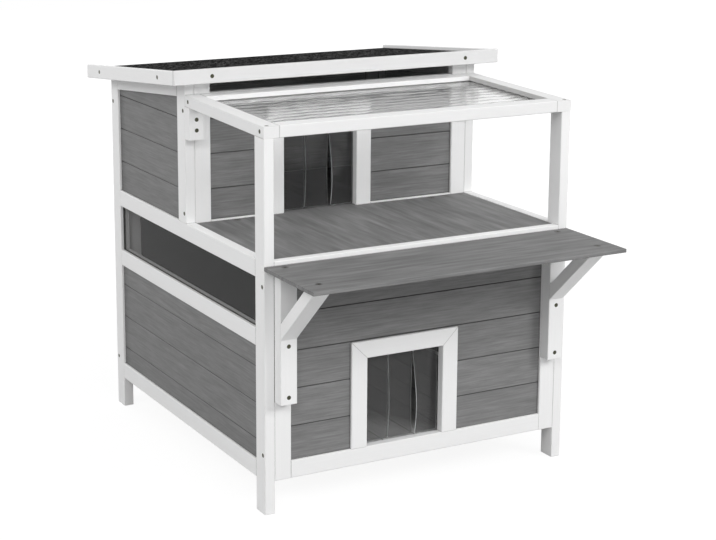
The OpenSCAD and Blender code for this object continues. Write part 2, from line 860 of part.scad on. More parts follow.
// Nodes of the back
module back_frame() color(white_paint) placed() difference() {
    union() {
        for (x = [side_t, house_w - side_t - rail_w])
            roof_upright(x, x + rail_w, house_d - front_t, house_d, bottom_z);
        for (z = [bottom_z, deck_rail_z, roof_z(house_d) - rail_w])
            under_roof() batten_x(
                [side_t + rail_w + fit, house_d - front_t, z],
                [house_w - side_t - rail_w - fit, house_d, z + rail_w]
            );
    }
    back_space(fit);
    side_screw_set("hole");
    other_side() side_screw_set("hole");
}
module back_planks() color(grey_stain) placed() intersection() {
    translate([house_w, house_d - plank_recess, 0]) rotate([0, 0, 180]) {
        plank_stack(house_w, plank_edges(
            bottom_top - groove_d, deck_rail_z + groove_d, bottom_top + side_seam, plank_w
        ));
        plank_stack(house_w, plank_edges(
            deck_rail_top - groove_d, roof_z(house_d - front_t), deck_rail_top + upper_seam, plank_w
        ));
    }
    back_space(0);
}

// Nodes of the floors
module floor_board() color(grey_stain) placed() block(
    [side_t + fit, front_t + fit, floor_z - board_t],
    [house_w - side_t - fit, house_d - front_t - fit, floor_z]
);
module floor_bearers() color(grey_stain) placed() for (share = [0.25, 0.75])
    translate([0, share * house_d, 0]) block(
        [side_t + fit, -rail_w / 2, floor_z - board_t - bearer_h],
        [house_w - side_t - fit, rail_w / 2, floor_z - board_t]
    );
module deck_board() color(grey_stain) placed() difference() {
    block(
        [side_t + fit, front_t + fit, deck_z - board_t],
        [house_w - side_t - fit, house_d - front_t - fit, deck_z]
    );
    deck_screw_set("hole");
    other_side() deck_screw_set("hole");
}
module deck_ledgers() color(grey_stain) placed() difference() {
    union() {
        for (x = [side_t, house_w - side_t - ledger_w])
            block(
                [x, front_t + fit, deck_z - board_t - ledger_w],
                [x + ledger_w, house_d - front_t - fit, deck_z - board_t]
            );
        for (y = [front_t + fit, terrace_d - rail_w / 2])
            block(
                [side_t + ledger_w + fit, y, deck_z - board_t - ledger_w],
                [house_w - side_t - ledger_w - fit, y + rail_w, deck_z - board_t]
            );
    }
    deck_screw_set("hole");
    other_side() deck_screw_set("hole");
}

// Nodes of the canopy
module canopy_frame() color(white_paint) placed() difference() {
    translate([0, 0, canopy_z]) rotate([canopy_fall, 0, 0]) {
        for (x = [0, house_w - canopy_rail_w])
            batten_y([x, 0, 0], [x + canopy_rail_w, terrace_d, canopy_rail_h]);
        for (y = [0, terrace_d - canopy_rail_w])
            batten_x(
                [canopy_rail_w + fit, y, 0],
                [house_w - canopy_rail_w - fit, y + canopy_rail_w, canopy_rail_h]
            );
    }
    sheet_space(fit);
    canopy_screw_set("hole");
    other_side() canopy_screw_set("hole");
}

// Corrugated sheet: its ribs run along x, and its section is a sine curve with the thickness added above
module canopy_sheet() color(clear_pvc, 0.5) placed() {
    inset = canopy_rail_w - sheet_seat;
    span = terrace_d - 2 * inset;
    steps = round(span / wave_pitch) * wave_steps;
    curve = [for (i = [0 : steps]) let (y = inset + span * i / steps)
        [y, canopy_under(y) + sheet_up + wave_h / 2 * (1 - cos(360 * i / wave_steps))]];
    along_x(inset, house_w - inset) polygon(concat(
        curve,
        [for (i = [steps : -1 : 0]) curve[i] + [0, sheet_t]]
    ));
}
module left_canopy_cleat() color(white_paint) placed() canopy_cleat();
module right_canopy_cleat() color(white_paint) placed() other_side() canopy_cleat();

// Nodes of the shelf
module shelf_board() color(grey_stain) placed() difference() {
    batten_x([0, -shelf_d, shelf_z - shelf_t], [house_w, 0, shelf_z]);
    shelf_screw_set("hole");
    other_side() shelf_screw_set("hole");
}
module left_bracket_board() color(white_paint) placed() bracket_board();
module right_bracket_board() color(white_paint) placed() other_side() bracket_board();
module left_bracket_strut() color(white_paint) placed() bracket_strut();
module right_bracket_strut() color(white_paint) placed() other_side() bracket_strut();

// Nodes of the roof: the back fascia stays under the felt, so that rain runs off over it
module roof_board() color(grey_stain) placed() difference() {
    roof_slab(
        fascia_t - side_overhang, house_w + side_overhang - fascia_t,
        roof_front + fascia_t, roof_back - fascia_t, 0, roof_board_t
    );
    fascia_screw_set("hole");
    other_side() fascia_screw_set("hole");
}
module roof_felt() color(black_felt) placed() roof_slab(
    fascia_t - side_overhang, house_w + side_overhang - fascia_t,
    roof_front + fascia_t, roof_back, felt_low, felt_low + felt_t
);
module front_fascia() color(white_paint) placed() difference() {
    batten_x(
        [-side_overhang, roof_front, roof_z(roof_front) + fascia_top - fascia_h],
        [house_w + side_overhang, roof_front + fascia_t, roof_z(roof_front) + fascia_top]
    );
    fascia_screw_set("hole");
    other_side() fascia_screw_set("hole");
}
module back_fascia() color(white_paint) placed() roof_slab(
    fascia_t - side_overhang, house_w + side_overhang - fascia_t,
    roof_back - fascia_t, roof_back, fascia_top - fascia_h, roof_board_t
);
module side_fascia() {
    difference() {
        roof_batten(
            -side_overhang, fascia_t - side_overhang,
            roof_front + fascia_t, roof_back, fascia_top - fascia_h, fascia_top
        );
        fascia_screw_set("hole");
    }
}
module left_fascia() color(white_paint) placed() side_fascia();
module right_fascia() color(white_paint) placed() other_side() side_fascia();
module hinge_wall_leaves() color(zinc_steel) placed() for (x = hinge_places) wall_leaf(x);
module hinge_roof_leaves() color(zinc_steel) placed() for (x = hinge_places) roof_leaf(x);
module hinge_pins() color(zinc_steel) placed() for (x = hinge_places) hinge_pin(x);

// Nodes of the screws
module house_screw_half() {
    side_screw_set("screw");
    canopy_screw_set("screw");
    bracket_screw_set("screw");
    cleat_screw_set("screw");
    shelf_screw_set("screw");
    deck_screw_set("screw");
}
module house_screws() color(zinc_steel) placed() {
    house_screw_half();
    other_side() house_screw_half();
}
module roof_screws() color(zinc_steel) placed() {
    fascia_screw_set("screw");
    other_side() fascia_screw_set("screw");
}

// Nodes of the strip curtains
module lower_curtain_batten() color(white_paint) placed() curtain_batten(0, bottom_top);
module lower_strip_left() color(clear_pvc, 0.5) placed() curtain_strip(0, bottom_top, 0);
module lower_strip_middle() color(clear_pvc, 0.5) placed() curtain_strip(0, bottom_top, 1);
module lower_strip_right() color(clear_pvc, 0.5) placed() curtain_strip(0, bottom_top, 2);
module upper_curtain_batten() color(white_paint) placed() curtain_batten(terrace_d, deck_z);
module upper_strip_left() color(clear_pvc, 0.5) placed() curtain_strip(terrace_d, deck_z, 0);
module upper_strip_middle() color(clear_pvc, 0.5) placed() curtain_strip(terrace_d, deck_z, 1);
module upper_strip_right() color(clear_pvc, 0.5) placed() curtain_strip(terrace_d, deck_z, 2);

left_front_post();
left_back_post();
left_rails();
left_upper_frame();
left_lower_planks();
left_upper_planks();
left_window_pane();
right_front_post();
right_back_post();
right_rails();
right_upper_frame();
right_lower_planks();
right_upper_planks();
right_window_pane();
front_left_stile();
front_right_stile();
front_bottom_rail();
front_deck_rail();
front_planks();
lower_door_trim();
upper_left_stile();
upper_right_stile();
upper_top_rail();
upper_sill_strip();
upper_front_planks();
upper_door_trim();
back_frame();
back_planks();
floor_board();
floor_bearers();
deck_board();
deck_ledgers();
canopy_frame();
canopy_sheet();
left_canopy_cleat();
right_canopy_cleat();
shelf_board();
left_bracket_board();
right_bracket_board();
left_bracket_strut();
right_bracket_strut();
roof_board();
roof_felt();
front_fascia();
back_fascia();
left_fascia();
right_fascia();
hinge_wall_leaves();
hinge_roof_leaves();
hinge_pins();
house_screws();
roof_screws();
lower_curtain_batten();
lower_strip_left();
lower_strip_middle();
lower_strip_right();
upper_curtain_batten();
upper_strip_left();
upper_strip_middle();
upper_strip_right();
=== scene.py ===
# %% [markdown]
# # A painted cat house with a felted roof
# The real object is a small timber house: white painted fir battens, grey stained tongued planks, a lean-to
# roof under mineral felt, a canopy of clear corrugated PVC over a terrace, and doorways that are closed by
# clear strips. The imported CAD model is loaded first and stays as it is. This script gives its pieces their
# finishes, and replaces only those whose real surface is softer or wavier than a plain solid.

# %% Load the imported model
import math

import bpy
import numpy as np
from mathutils import Matrix, Vector

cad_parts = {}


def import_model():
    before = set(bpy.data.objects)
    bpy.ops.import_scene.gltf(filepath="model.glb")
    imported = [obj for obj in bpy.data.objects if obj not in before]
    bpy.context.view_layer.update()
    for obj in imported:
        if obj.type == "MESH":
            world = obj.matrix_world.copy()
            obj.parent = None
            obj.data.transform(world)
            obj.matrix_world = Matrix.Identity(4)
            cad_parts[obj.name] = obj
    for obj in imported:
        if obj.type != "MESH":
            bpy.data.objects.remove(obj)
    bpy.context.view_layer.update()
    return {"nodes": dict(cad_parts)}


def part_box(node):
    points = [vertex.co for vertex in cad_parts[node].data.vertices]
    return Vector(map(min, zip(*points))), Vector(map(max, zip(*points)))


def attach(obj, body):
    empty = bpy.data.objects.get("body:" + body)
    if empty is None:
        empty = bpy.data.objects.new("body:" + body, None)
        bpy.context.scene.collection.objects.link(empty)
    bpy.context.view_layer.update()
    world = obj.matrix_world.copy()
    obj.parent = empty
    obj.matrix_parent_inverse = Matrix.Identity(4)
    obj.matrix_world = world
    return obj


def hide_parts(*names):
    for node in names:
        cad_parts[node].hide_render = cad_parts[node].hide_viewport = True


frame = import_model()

nodes = frame["nodes"]

# %% [markdown]
# ## Places and small helpers
# The maker measures the house in millimetres from its left front foot: x to the right, y to the back, z up.
# Blender works in metres from the middle of the object, so one function turns the first into the second.

# %% Turn house millimetres into scene metres
HOUSE_W = 750.0   # over the two sides
MIDDLE_Y = 332.5  # middle of the whole object, from the front face of the posts
ORIGIN = np.array((HOUSE_W / 2, MIDDLE_Y, 0.0))


def place(points):
    """Moves house coordinates to the scene: subtract the scene's origin, then divide by 1000."""
    return (np.asarray(points, dtype=float) - ORIGIN) / 1000.0


def house_box(node):
    """Lowest and highest corner of a CAD piece in house millimetres, the inverse of place()."""
    low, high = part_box(node)
    return np.array(low) * 1000.0 + ORIGIN, np.array(high) * 1000.0 + ORIGIN


print("left front foot:", place((0, 0, 0)))

# %% [markdown]
# ## Camera
# The picture was taken from the left of the front, a little above the roof's height. A perspective fit to
# the corners of the house gave the focal length in pixels, the place and the three angles. The lens looks
# down, and a small upward shift of the frame keeps the whole house in view.

# %% Set up the camera
PHOTO_W, PHOTO_H = 716, 540
FOCAL_PX = 1765.6  # focal length, in pixels of the photograph
AXIS_ROW = 200.0   # pixel row that the lens axis meets
SENSOR_W = 36.0    # in mm, as on a full frame camera
CAMERA_PLACE = (-1521.0, -3120.1, 1443.5)  # in house millimetres
YAW, PITCH, ROLL = (math.radians(a) for a in (29.119, 12.465, -0.386))

forward = np.array((math.sin(YAW) * math.cos(PITCH), math.cos(YAW) * math.cos(PITCH), -math.sin(PITCH)))
sideways = np.array((math.cos(YAW), -math.sin(YAW), 0.0))
downward = np.cross(forward, sideways)
right = sideways * math.cos(ROLL) + downward * math.sin(ROLL)
down = downward * math.cos(ROLL) - sideways * math.sin(ROLL)

camera_data = bpy.data.cameras.new("camera")
camera_data.sensor_width = SENSOR_W
camera_data.lens = FOCAL_PX / PHOTO_W * SENSOR_W
camera_data.shift_y = (AXIS_ROW - PHOTO_H / 2) / PHOTO_W
camera = bpy.data.objects.new("camera", camera_data)
camera.matrix_world = Matrix.Translation(Vector(place(CAMERA_PLACE))) @ Matrix(
    np.column_stack((right, -down, -forward)).tolist()).to_4x4()
bpy.context.scene.collection.objects.link(camera)
bpy.context.scene.camera = camera
print("lens %.2f mm, shift %.4f" % (camera_data.lens, camera_data.shift_y))

# %% [markdown]
# ## Nodes and colours
# Every finish below is a small node tree. One function adds a node, sets it and fills its sockets, and one
# turns the hex colours that a paint shop would give into the linear values that the renderer works with.

# %% Helpers for finishes
WHITE = (1.0, 1.0, 1.0, 1.0)
BINDER_IOR = 1.5  # refractive index of paint, stain and wood


def colour(hex_value):
    """sRGB hex to linear RGBA: c / 12.92 up to 0.04045, then ((c + 0.055) / 1.055) to the power 2.4."""
    srgb = np.array([int(hex_value[i:i + 2], 16) for i in (1, 3, 5)]) / 255.0
    linear = np.where(srgb <= 0.04045, srgb / 12.92, ((srgb + 0.055) / 1.055) ** 2.4)
    return (*linear.tolist(), 1.0)


def feed(tree, node, inputs):
    """Fills a node's sockets: another node links its first output, an output links itself, and any other
    value is set."""
    for name, value in inputs.items():
        if isinstance(value, bpy.types.Node):
            value = value.outputs[0]
        if isinstance(value, bpy.types.NodeSocket):
            tree.links.new(value, node.inputs[name])
        else:
            node.inputs[name].default_value = value


def add(tree, kind, inputs=None, **settings):
    """Adds one node: settings are its properties, and inputs are what its sockets are filled with."""
    made = tree.nodes.new("ShaderNode" + kind)
    for name, value in settings.items():
        setattr(made, name, value)
    feed(tree, made, inputs or {})
    return made


def new_finish(name):
    """A material with a Principled shader on its output, and the Object coordinates for its patterns."""
    made = bpy.data.materials.new(name)
    made.use_nodes = True
    tree = made.node_tree
    tree.nodes.clear()
    shader = add(tree, "BsdfPrincipled")
    add(tree, "OutputMaterial", {"Surface": shader})
    return made, tree, shader, add(tree, "TexCoord").outputs["Object"]


def surfaced(tree, shader, tone, grain, rough, ridge, strength, soft=None):
    """Ends a finish on wood or grit: its tone, a roughness between two values that follows the grain, and
    ridges of a real height in metres, on the true normal or on a softer one."""
    gloss = add(tree, "MapRange", {"Value": grain, "To Min": rough[0], "To Max": rough[1]})
    relief = add(tree, "Bump", {"Height": grain, "Distance": ridge, "Strength": strength})
    if soft:
        feed(tree, relief, {"Normal": soft})
    feed(tree, shader, {"Base Color": tone, "Roughness": gloss, "Normal": relief, "IOR": BINDER_IOR})


print("mid grey #808080 is", round(colour("#808080")[0], 4), "in linear light")

# %% [markdown]
# ## Studio
# The house stands on a plain white floor in soft light. The world is even and pale. To the camera, and in
# gloss and glass, world and floor are plain white, at a strength of 1. Light Path tells those rays from the
# ones that only carry light to the house.

# %% Fill the world with even light
AMBIENT = 0.4  # strength of the even light from all round


def seen_plainly(tree):
    """1 for a ray that comes from the camera, from gloss or through glass, and 0 for any other."""
    path = add(tree, "LightPath").outputs
    seen = add(tree, "Math", {0: path["Is Camera Ray"], 1: path["Is Glossy Ray"]}, operation="MAXIMUM")
    return add(tree, "Math", {0: seen, 1: path["Is Transmission Ray"]}, operation="MAXIMUM")


world = bpy.data.worlds.new("studio")
bpy.context.scene.world = world
world.use_nodes = True
sky = world.node_tree
sky.nodes.clear()
sky_strength = add(sky, "MapRange", {"Value": seen_plainly(sky), "To Min": AMBIENT, "To Max": 1.0})
backdrop = add(sky, "Background", {"Color": WHITE, "Strength": sky_strength})
add(sky, "OutputWorld", {"Surface": backdrop})
bpy.context.scene.view_settings.view_transform = "Standard"
print("even light from all round:", AMBIENT)

# %% [markdown]
# Large soft lamps stand round the house: one in front, which reaches in under the canopy, one at each front
# corner, one at each side, and a low one behind for the back wall. Front faces come out brighter than the
# left side, and the shelf leaves a soft shadow.

# %% Set up the lamps
LAMP_SIZE = 3.0                # across each round lamp, in metres
LAMP_AWAY = 8.0                # from the middle of the house to each lamp, in metres
AIM = Vector((0.0, 0.0, 0.4))  # the point that every lamp faces
LAMPS = {                      # degrees right of the front, degrees up, watts
    "front_lamp": (0.0, 30.0, 75.0),
    "front_right_lamp": (35.0, 30.0, 255.0),
    "front_left_lamp": (-40.0, 35.0, 136.0),
    "left_lamp": (-80.0, 30.0, 126.0),
    "right_lamp": (75.0, 25.0, 100.0),
    "back_lamp": (-165.0, 12.0, 150.0),
}

for name, (turn, height, watts) in LAMPS.items():
    turn, height = math.radians(turn), math.radians(height)
    away = Vector((math.sin(turn) * math.cos(height), -math.cos(turn) * math.cos(height), math.sin(height)))
    facing = away.to_track_quat("Z", "Y").to_matrix().to_4x4()
    lamp_data = bpy.data.lights.new(name, "AREA")
    lamp_data.shape, lamp_data.size, lamp_data.energy = "DISK", LAMP_SIZE, watts
    lamp = bpy.data.objects.new(name, lamp_data)
    lamp.matrix_world = Matrix.Translation(AIM + LAMP_AWAY * away) @ facing
    bpy.context.scene.collection.objects.link(lamp)
print("lamps:", len(LAMPS), "with", sum(lamp[2] for lamp in LAMPS.values()), "watts in all")

# %% [markdown]
# The floor is matte paper. To the camera it glows white, with a thin matte share on top that shows the
# shadow. Near the house it glows a little less, or the shadow would clip to white.

# %% Lay the floor
FLOOR_SIDE = 18.0               # in metres
FLOOR_Z = -0.0004               # just under the feet, in metres
PAPER_GREY = "#BABABA"          # of the paper that sends light up to the house
PAPER_THIN = "#6A6A6A"          # of the thin matte share that the camera sees
GLOW_NEAR, GLOW_FAR = 0.9, 1.0  # strength of the glow near the house and far from it
NEAR, FAR = 1.0, 3.0            # metres from the middle of the house

floor_finish = bpy.data.materials.new("white_paper_floor")
floor_finish.use_nodes = True
paper = floor_finish.node_tree
paper.nodes.clear()
matte = add(paper, "BsdfDiffuse", {"Color": colour(PAPER_GREY)})
thin = add(paper, "BsdfDiffuse", {"Color": colour(PAPER_THIN)})
reach = add(paper, "VectorMath", {0: add(paper, "TexCoord").outputs["Object"]}, operation="LENGTH")
glow_strength = add(paper, "MapRange", {"Value": reach.outputs["Value"], "From Min": NEAR, "From Max": FAR,
                                        "To Min": GLOW_NEAR, "To Max": GLOW_FAR})
glow = add(paper, "Emission", {"Color": WHITE, "Strength": glow_strength})
glowing = add(paper, "AddShader", {0: thin, 1: glow})
both = add(paper, "MixShader", {0: seen_plainly(paper), 1: matte, 2: glowing})
add(paper, "OutputMaterial", {"Surface": both})

corners = [(x * FLOOR_SIDE / 2, y * FLOOR_SIDE / 2, FLOOR_Z) for x, y in ((-1, -1), (1, -1), (1, 1), (-1, 1))]
floor_mesh = bpy.data.meshes.new("floor")
floor_mesh.from_pydata(corners, [], [(0, 1, 2, 3)])
floor_mesh.materials.append(floor_finish)
floor = bpy.data.objects.new("floor", floor_mesh)
bpy.context.scene.collection.objects.link(floor)
print("floor:", [round(side, 1) for side in floor.dimensions])

# %% [markdown]
# ## White paint on fir
# The battens are planed fir with two coats of white acrylic paint, rolled on in the factory. The paint is
# satin, and the grain still shows as faint long streaks and shallow ridges, because soft wood swells between
# its year rings. The grain runs along each batten, so the pattern is stretched along the axis of the piece.
# A frame that is cut from battens of two directions gets both, with the place on the piece deciding which.

# %% Stretch a pattern along the grain
AXES = "xyz"


def stretched(tree, where, along, long_mm, wide_mm):
    """Coordinates for streaks: metres over a streak's length along one axis, and over its width across."""
    size = [1000.0 / (long_mm if axis == along else wide_mm) for axis in AXES]
    return add(tree, "VectorMath", {0: where, 1: size}, operation="MULTIPLY")


def turned(tree, where, degrees):
    """Coordinates turned about x, so that the grain of a slanting batten runs along y."""
    if not degrees:
        return where
    return add(tree, "Mapping", {"Vector": where, "Rotation": (math.radians(degrees), 0, 0)})


def chosen(tree, where, along, other, beyond, long_mm, wide_mm):
    """One stretched pattern, or two that meet where the distance beyond a joint is 0."""
    main = stretched(tree, where, along, long_mm, wide_mm)
    if beyond is None:
        return main
    cross = stretched(tree, where, other, long_mm, wide_mm)
    mask = add(tree, "Math", {0: beyond, 1: 0.0}, operation="GREATER_THAN")
    first_vector, second_vector = 4, 5
    mix = add(tree, "Mix", {0: mask, first_vector: main, second_vector: cross}, data_type="VECTOR")
    return mix.outputs[1]


print("a pattern can run along", *AXES)

# %% [markdown]
# Two measures tell where a finish looks older or lies in shade. Bevel gives a rounded normal, which leans
# from the true one only along an arris, where the coat is thin. Ambient Occlusion sees how much of the view
# round a point is closed off, which is most in the joints: the dark tone laid there is partly bare wood and
# grime, and partly painted shade.

# %% Find arrises and joints
ARRIS_FROM, ARRIS_FULL = 0.99, 0.8  # cosine of the lean where the wear starts and where it is full
JOINT_FROM, JOINT_FULL = 0.75, 0.3  # open share of the view where a joint starts and where it is full


def worn_edge(tree, radius_mm):
    """How far a rounded normal leans from the true one: near 0 on a flat face and near 1 along an arris."""
    soft = add(tree, "Bevel", {"Radius": radius_mm / 1000.0}, samples=4)
    true = add(tree, "NewGeometry").outputs["Normal"]
    lean = add(tree, "VectorMath", {0: soft, 1: true}, operation="DOT_PRODUCT")
    edge = add(tree, "MapRange", {"Value": lean.outputs["Value"], "From Min": ARRIS_FROM,
                                  "From Max": ARRIS_FULL})
    return edge, soft


def crevice_shade(tree, reach_mm):
    """How deep a point lies in a joint, for grime and painted shade: 0 on an open face, 1 where most of the
    near view is closed off.
    """
    open_share = add(tree, "AmbientOcclusion", {"Distance": reach_mm / 1000.0}, samples=6).outputs["AO"]
    return add(tree, "MapRange", {"Value": open_share, "From Min": JOINT_FROM, "From Max": JOINT_FULL})


def layered(tree, tone, *layers):
    """Lays layers over a tone, one after another: each has a mask, the share that it covers, and a colour."""
    for mask, share, shade in layers:
        cover = add(tree, "Math", {0: mask, 1: share}, operation="MULTIPLY")
        tone = add(tree, "MixRGB", {"Fac": cover, "Color1": tone, "Color2": colour(shade)})
    return tone


print("wear is full where the normal leans", round(math.degrees(math.acos(ARRIS_FULL))), "degrees")

# %% [markdown]
# The paint starts as a tone from streaks and clouds, scaled for each piece as painted light and shade. A thin
# layer on the arrises and a dark layer of bare wood, grime and painted shade in the joints come over it, and
# last the hairline of a joint. The gloss follows the streaks, and bump raises their ridges on the rounded
# normal, so that an arris looks softened without more faces.

# %% Mix the white paint
GRAIN_STREAK = (130.0, 2.6)           # length and width of a streak of the grain, in mm
ROLLER_CLOUD = (260.0, 30.0)          # length and width of a thicker or thinner patch of paint, in mm
PAINT_TONES = ("#E6E6E6", "#F2F2F2")  # on the soft wood and on the year rings
PAINT_CLOUD = "#EDEDED"               # where the roller left more
PAINT_THIN = "#D6D4CF"                # along the arrises
PAINT_BARE_AND_SHADE = "#55534F"                # bare wood, grime and painted shade in the joints
HAIRLINE = "#7A7874"                  # where two battens of a piece meet
HAIRLINE_SHARE = 0.45                 # share of it that shows
HAIRLINE_FROM, HAIRLINE_FULL = 0.0011, 0.0004  # metres from the joint where it starts and where it is full
PAINT_ARRIS, PAINT_REACH = 1.2, 3.0   # radius of an arris and reach into a joint, in mm
PAINT_WEAR = 0.35                     # share of the thin tone along an arris
PAINT_RIDGE = 0.00025                 # height of the ridges, in metres
PAINT_ROUGH = (0.42, 0.58)            # satin


def white_paint(name, along, other=None, joint=None, slope=0.0, coat=1.0, dirt_and_shade=0.8):
    """Satin acrylic paint over fir: pale streaks, shallow ridges, arrises where the coat is thinner, joints
    darkened by bare wood, grime and painted shade, and a dark hairline where two battens of the piece meet.
    coat scales its tone as painted light and shade, and dirt_and_shade is the share of the dark tone in a
    joint."""
    finish, tree, shader, where = new_finish("white_acrylic_paint_" + name)
    where = turned(tree, where, slope)
    beyond = joint(tree, where) if joint else None
    streaks = add(tree, "TexNoise", {"Vector": chosen(tree, where, along, other, beyond, *GRAIN_STREAK),
                                     "Scale": 1.0, "Detail": 3.0, "Roughness": 0.6}).outputs["Fac"]
    clouds = add(tree, "TexNoise", {"Vector": chosen(tree, where, along, other, beyond, *ROLLER_CLOUD),
                                    "Scale": 1.0, "Detail": 2.0}).outputs["Fac"]
    edge, soft = worn_edge(tree, PAINT_ARRIS)
    wood, ring = (colour(shade) for shade in PAINT_TONES)
    tone = add(tree, "MixRGB", {"Fac": streaks, "Color1": wood, "Color2": ring})
    tone = add(tree, "MixRGB", {"Fac": clouds, "Color1": tone, "Color2": colour(PAINT_CLOUD)})
    # coat scales the tone as painted light and shade for the piece.
    tone = add(tree, "VectorMath", {0: tone, "Scale": coat}, operation="SCALE")
    # The dark tone in the joints is bare wood, grime and painted shade.
    joints = crevice_shade(tree, PAINT_REACH)
    tone = layered(tree, tone, (edge, PAINT_WEAR, PAINT_THIN), (joints, dirt_and_shade, PAINT_BARE_AND_SHADE))
    if beyond is not None:
        off = add(tree, "Math", {0: beyond}, operation="ABSOLUTE")
        line = add(tree, "MapRange", {"Value": off, "From Min": HAIRLINE_FROM, "From Max": HAIRLINE_FULL,
                                      "To Max": HAIRLINE_SHARE})
        tone = add(tree, "MixRGB", {"Fac": line, "Color1": tone, "Color2": colour(HAIRLINE)})
    surfaced(tree, shader, tone, streaks, PAINT_ROUGH, PAINT_RIDGE, 0.35, soft)
    return finish


print("streaks of grain: %.0f by %.1f mm" % GRAIN_STREAK)

# %% [markdown]
# Where two battens of one piece meet, the grain turns. Two rules find such a joint: a butt joint lies at a
# fixed place along one axis, and the mitre of a doorway's trim runs up and out at 45 degrees from the
# opening's corner.

# %% Find where two battens meet


def past(axis, limit, either_way=False):
    """Distance in metres past a limit in house millimetres, or past that many either way from the middle."""
    number = AXES.index(axis)
    limit = limit / 1000.0 if either_way else place((limit, limit, limit))[number]

    def distance(tree, where):
        value = add(tree, "SeparateXYZ", {0: where}).outputs[number]
        if either_way:
            value = add(tree, "Math", {0: value}, operation="ABSOLUTE")
        return add(tree, "Math", {0: value, 1: limit}, operation="SUBTRACT")
    return distance


def head_of(node, trim):
    """Distance over the mitre of a doorway trim: how much higher over the corner than beside it."""
    low, high = (Vector(corner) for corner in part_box(node))
    middle, half, head = (low.x + high.x) / 2, (high.x - low.x) / 2 - trim, high.z - trim

    def distance(tree, where):
        parts = add(tree, "SeparateXYZ", {0: where})
        aside = add(tree, "Math", {0: parts, 1: middle}, operation="SUBTRACT")
        aside = add(tree, "Math", {0: aside}, operation="ABSOLUTE")
        aside = add(tree, "Math", {0: aside, 1: head - half}, operation="ADD")
        return add(tree, "Math", {0: parts.outputs[2], 1: aside}, operation="SUBTRACT")
    return distance


TRIM_W = 0.038        # width of a doorway's trim, in metres
CANOPY_JOINT = 339.0  # from the middle to the joints in the canopy's frame, in mm
SIDE_JOINT = 434.0    # y of the joints in the frame beside the upper cabin, in mm
BACK_JOINT = 314.0    # from the middle to the joints in the back frame, in mm
lower_mitre = head_of("lower_door_trim", TRIM_W)
upper_mitre = head_of("upper_door_trim", TRIM_W)
canopy_butt = past("x", CANOPY_JOINT, either_way=True)
side_butt = past("y", SIDE_JOINT)
back_butt = past("x", BACK_JOINT, either_way=True)
print("trims:", [round(side, 1) for side in np.subtract(*house_box("lower_door_trim")[::-1])])

# %% [markdown]
# One paint covers everything, but each direction of grain and each kind of joint needs a material of its own.
# The fascias and the canopy are a little greyer than the rest, and the struts and the upper trim a little
# brighter: this is painted light and shade, for pieces in full light and for pieces in shade under the shelf
# and the canopy. The canopy also gets less of the dark tone in its joints.

# %% Paint the battens
STRUT_RISE, STRUT_RUN = 143.0, 157.0  # of the struts under the shelf, in mm
strut_slope = math.degrees(math.atan2(STRUT_RISE, STRUT_RUN))

paint_up = white_paint("upright", "z")
paint_across = white_paint("across", "x")
paint_deep = white_paint("front_to_back", "y")
paint_fascia = white_paint("fascia", "x", coat=0.83)
paint_strut = white_paint("strut", "y", slope=strut_slope, coat=1.05)
paint_lower_trim = white_paint("lower_trim", "z", "x", lower_mitre)
paint_upper_trim = white_paint("upper_trim", "z", "x", upper_mitre, coat=1.05)
paint_canopy = white_paint("canopy", "x", "y", canopy_butt, coat=0.95, dirt_and_shade=0.3)
paint_side_frame = white_paint("side_frame", "z", "y", side_butt)
paint_back_frame = white_paint("back_frame", "x", "z", back_butt)
print("white paints:", len([m for m in bpy.data.materials if m.name.startswith("white_acrylic")]))

# %% [markdown]
# ## Grey stain on tongued planks
# The walls are sawn fir planks with a water based grey stain. Stain sinks into the soft wood and less into
# the year rings, so the streaks show more than under paint. Each plank came from another tree, so each
# differs a little in tone and has its own grain. The plank that a point lies on is its height, counted in
# plank widths from the first seam, and the rest after the whole number tells how near the point is to a
# seam.

# %% Count the planks
SEAM_W = 1.7       # half the width of a seam that the stain has pooled in, in mm
SEAM_FULL = 0.4    # half the width of its darkest part, in mm
SEAM_SHARE = 0.85  # how much of the seam's tone shows there


def plank_seams(tree, where, first, step, across):
    """Counts plank widths from the first seam to a point. The rest after the whole number is near 0 or 1 at a
    seam, where stain has pooled, and the whole number draws the plank's own chance values."""
    reached = add(tree, "SeparateXYZ", {0: where}).outputs[AXES.index(across)]
    count = add(tree, "Math", {0: reached, 1: first / 1000.0}, operation="SUBTRACT")
    count = add(tree, "Math", {0: count, 1: step / 1000.0}, operation="DIVIDE")
    rest = add(tree, "Math", {0: count}, operation="FRACT")
    rest = add(tree, "Math", {0: rest, 1: 0.5}, operation="SUBTRACT")
    rest = add(tree, "Math", {0: rest}, operation="ABSOLUTE")
    pooled = add(tree, "MapRange", {"Value": rest, "From Min": 0.5 - SEAM_W / step,
                                    "From Max": 0.5 - SEAM_FULL / step, "To Max": SEAM_SHARE})
    plank = add(tree, "Math", {0: count}, operation="FLOOR")
    luck = add(tree, "TexWhiteNoise", {"W": plank}, noise_dimensions="1D")
    return pooled, luck


print("a stained seam is", 2 * SEAM_W, "mm wide")

# %% [markdown]
# The figure of fir has three scales: the rings as long streaks, broader bands between them, and fine pores.
# A slow noise bends all three, because no tree grows quite straight.

# %% Draw the figure of fir
BEND = (400.0, 90.0)  # length and width of a bend in the grain, in mm
BEND_BY = 0.008       # how far the grain bends, in metres
BAND_W = 15.0         # width of a band, in mm
BAND_LONG = 0.8       # length of a band, against that of a streak of the rings
PORE = (14.0, 0.9)    # length and width of a pore, in mm


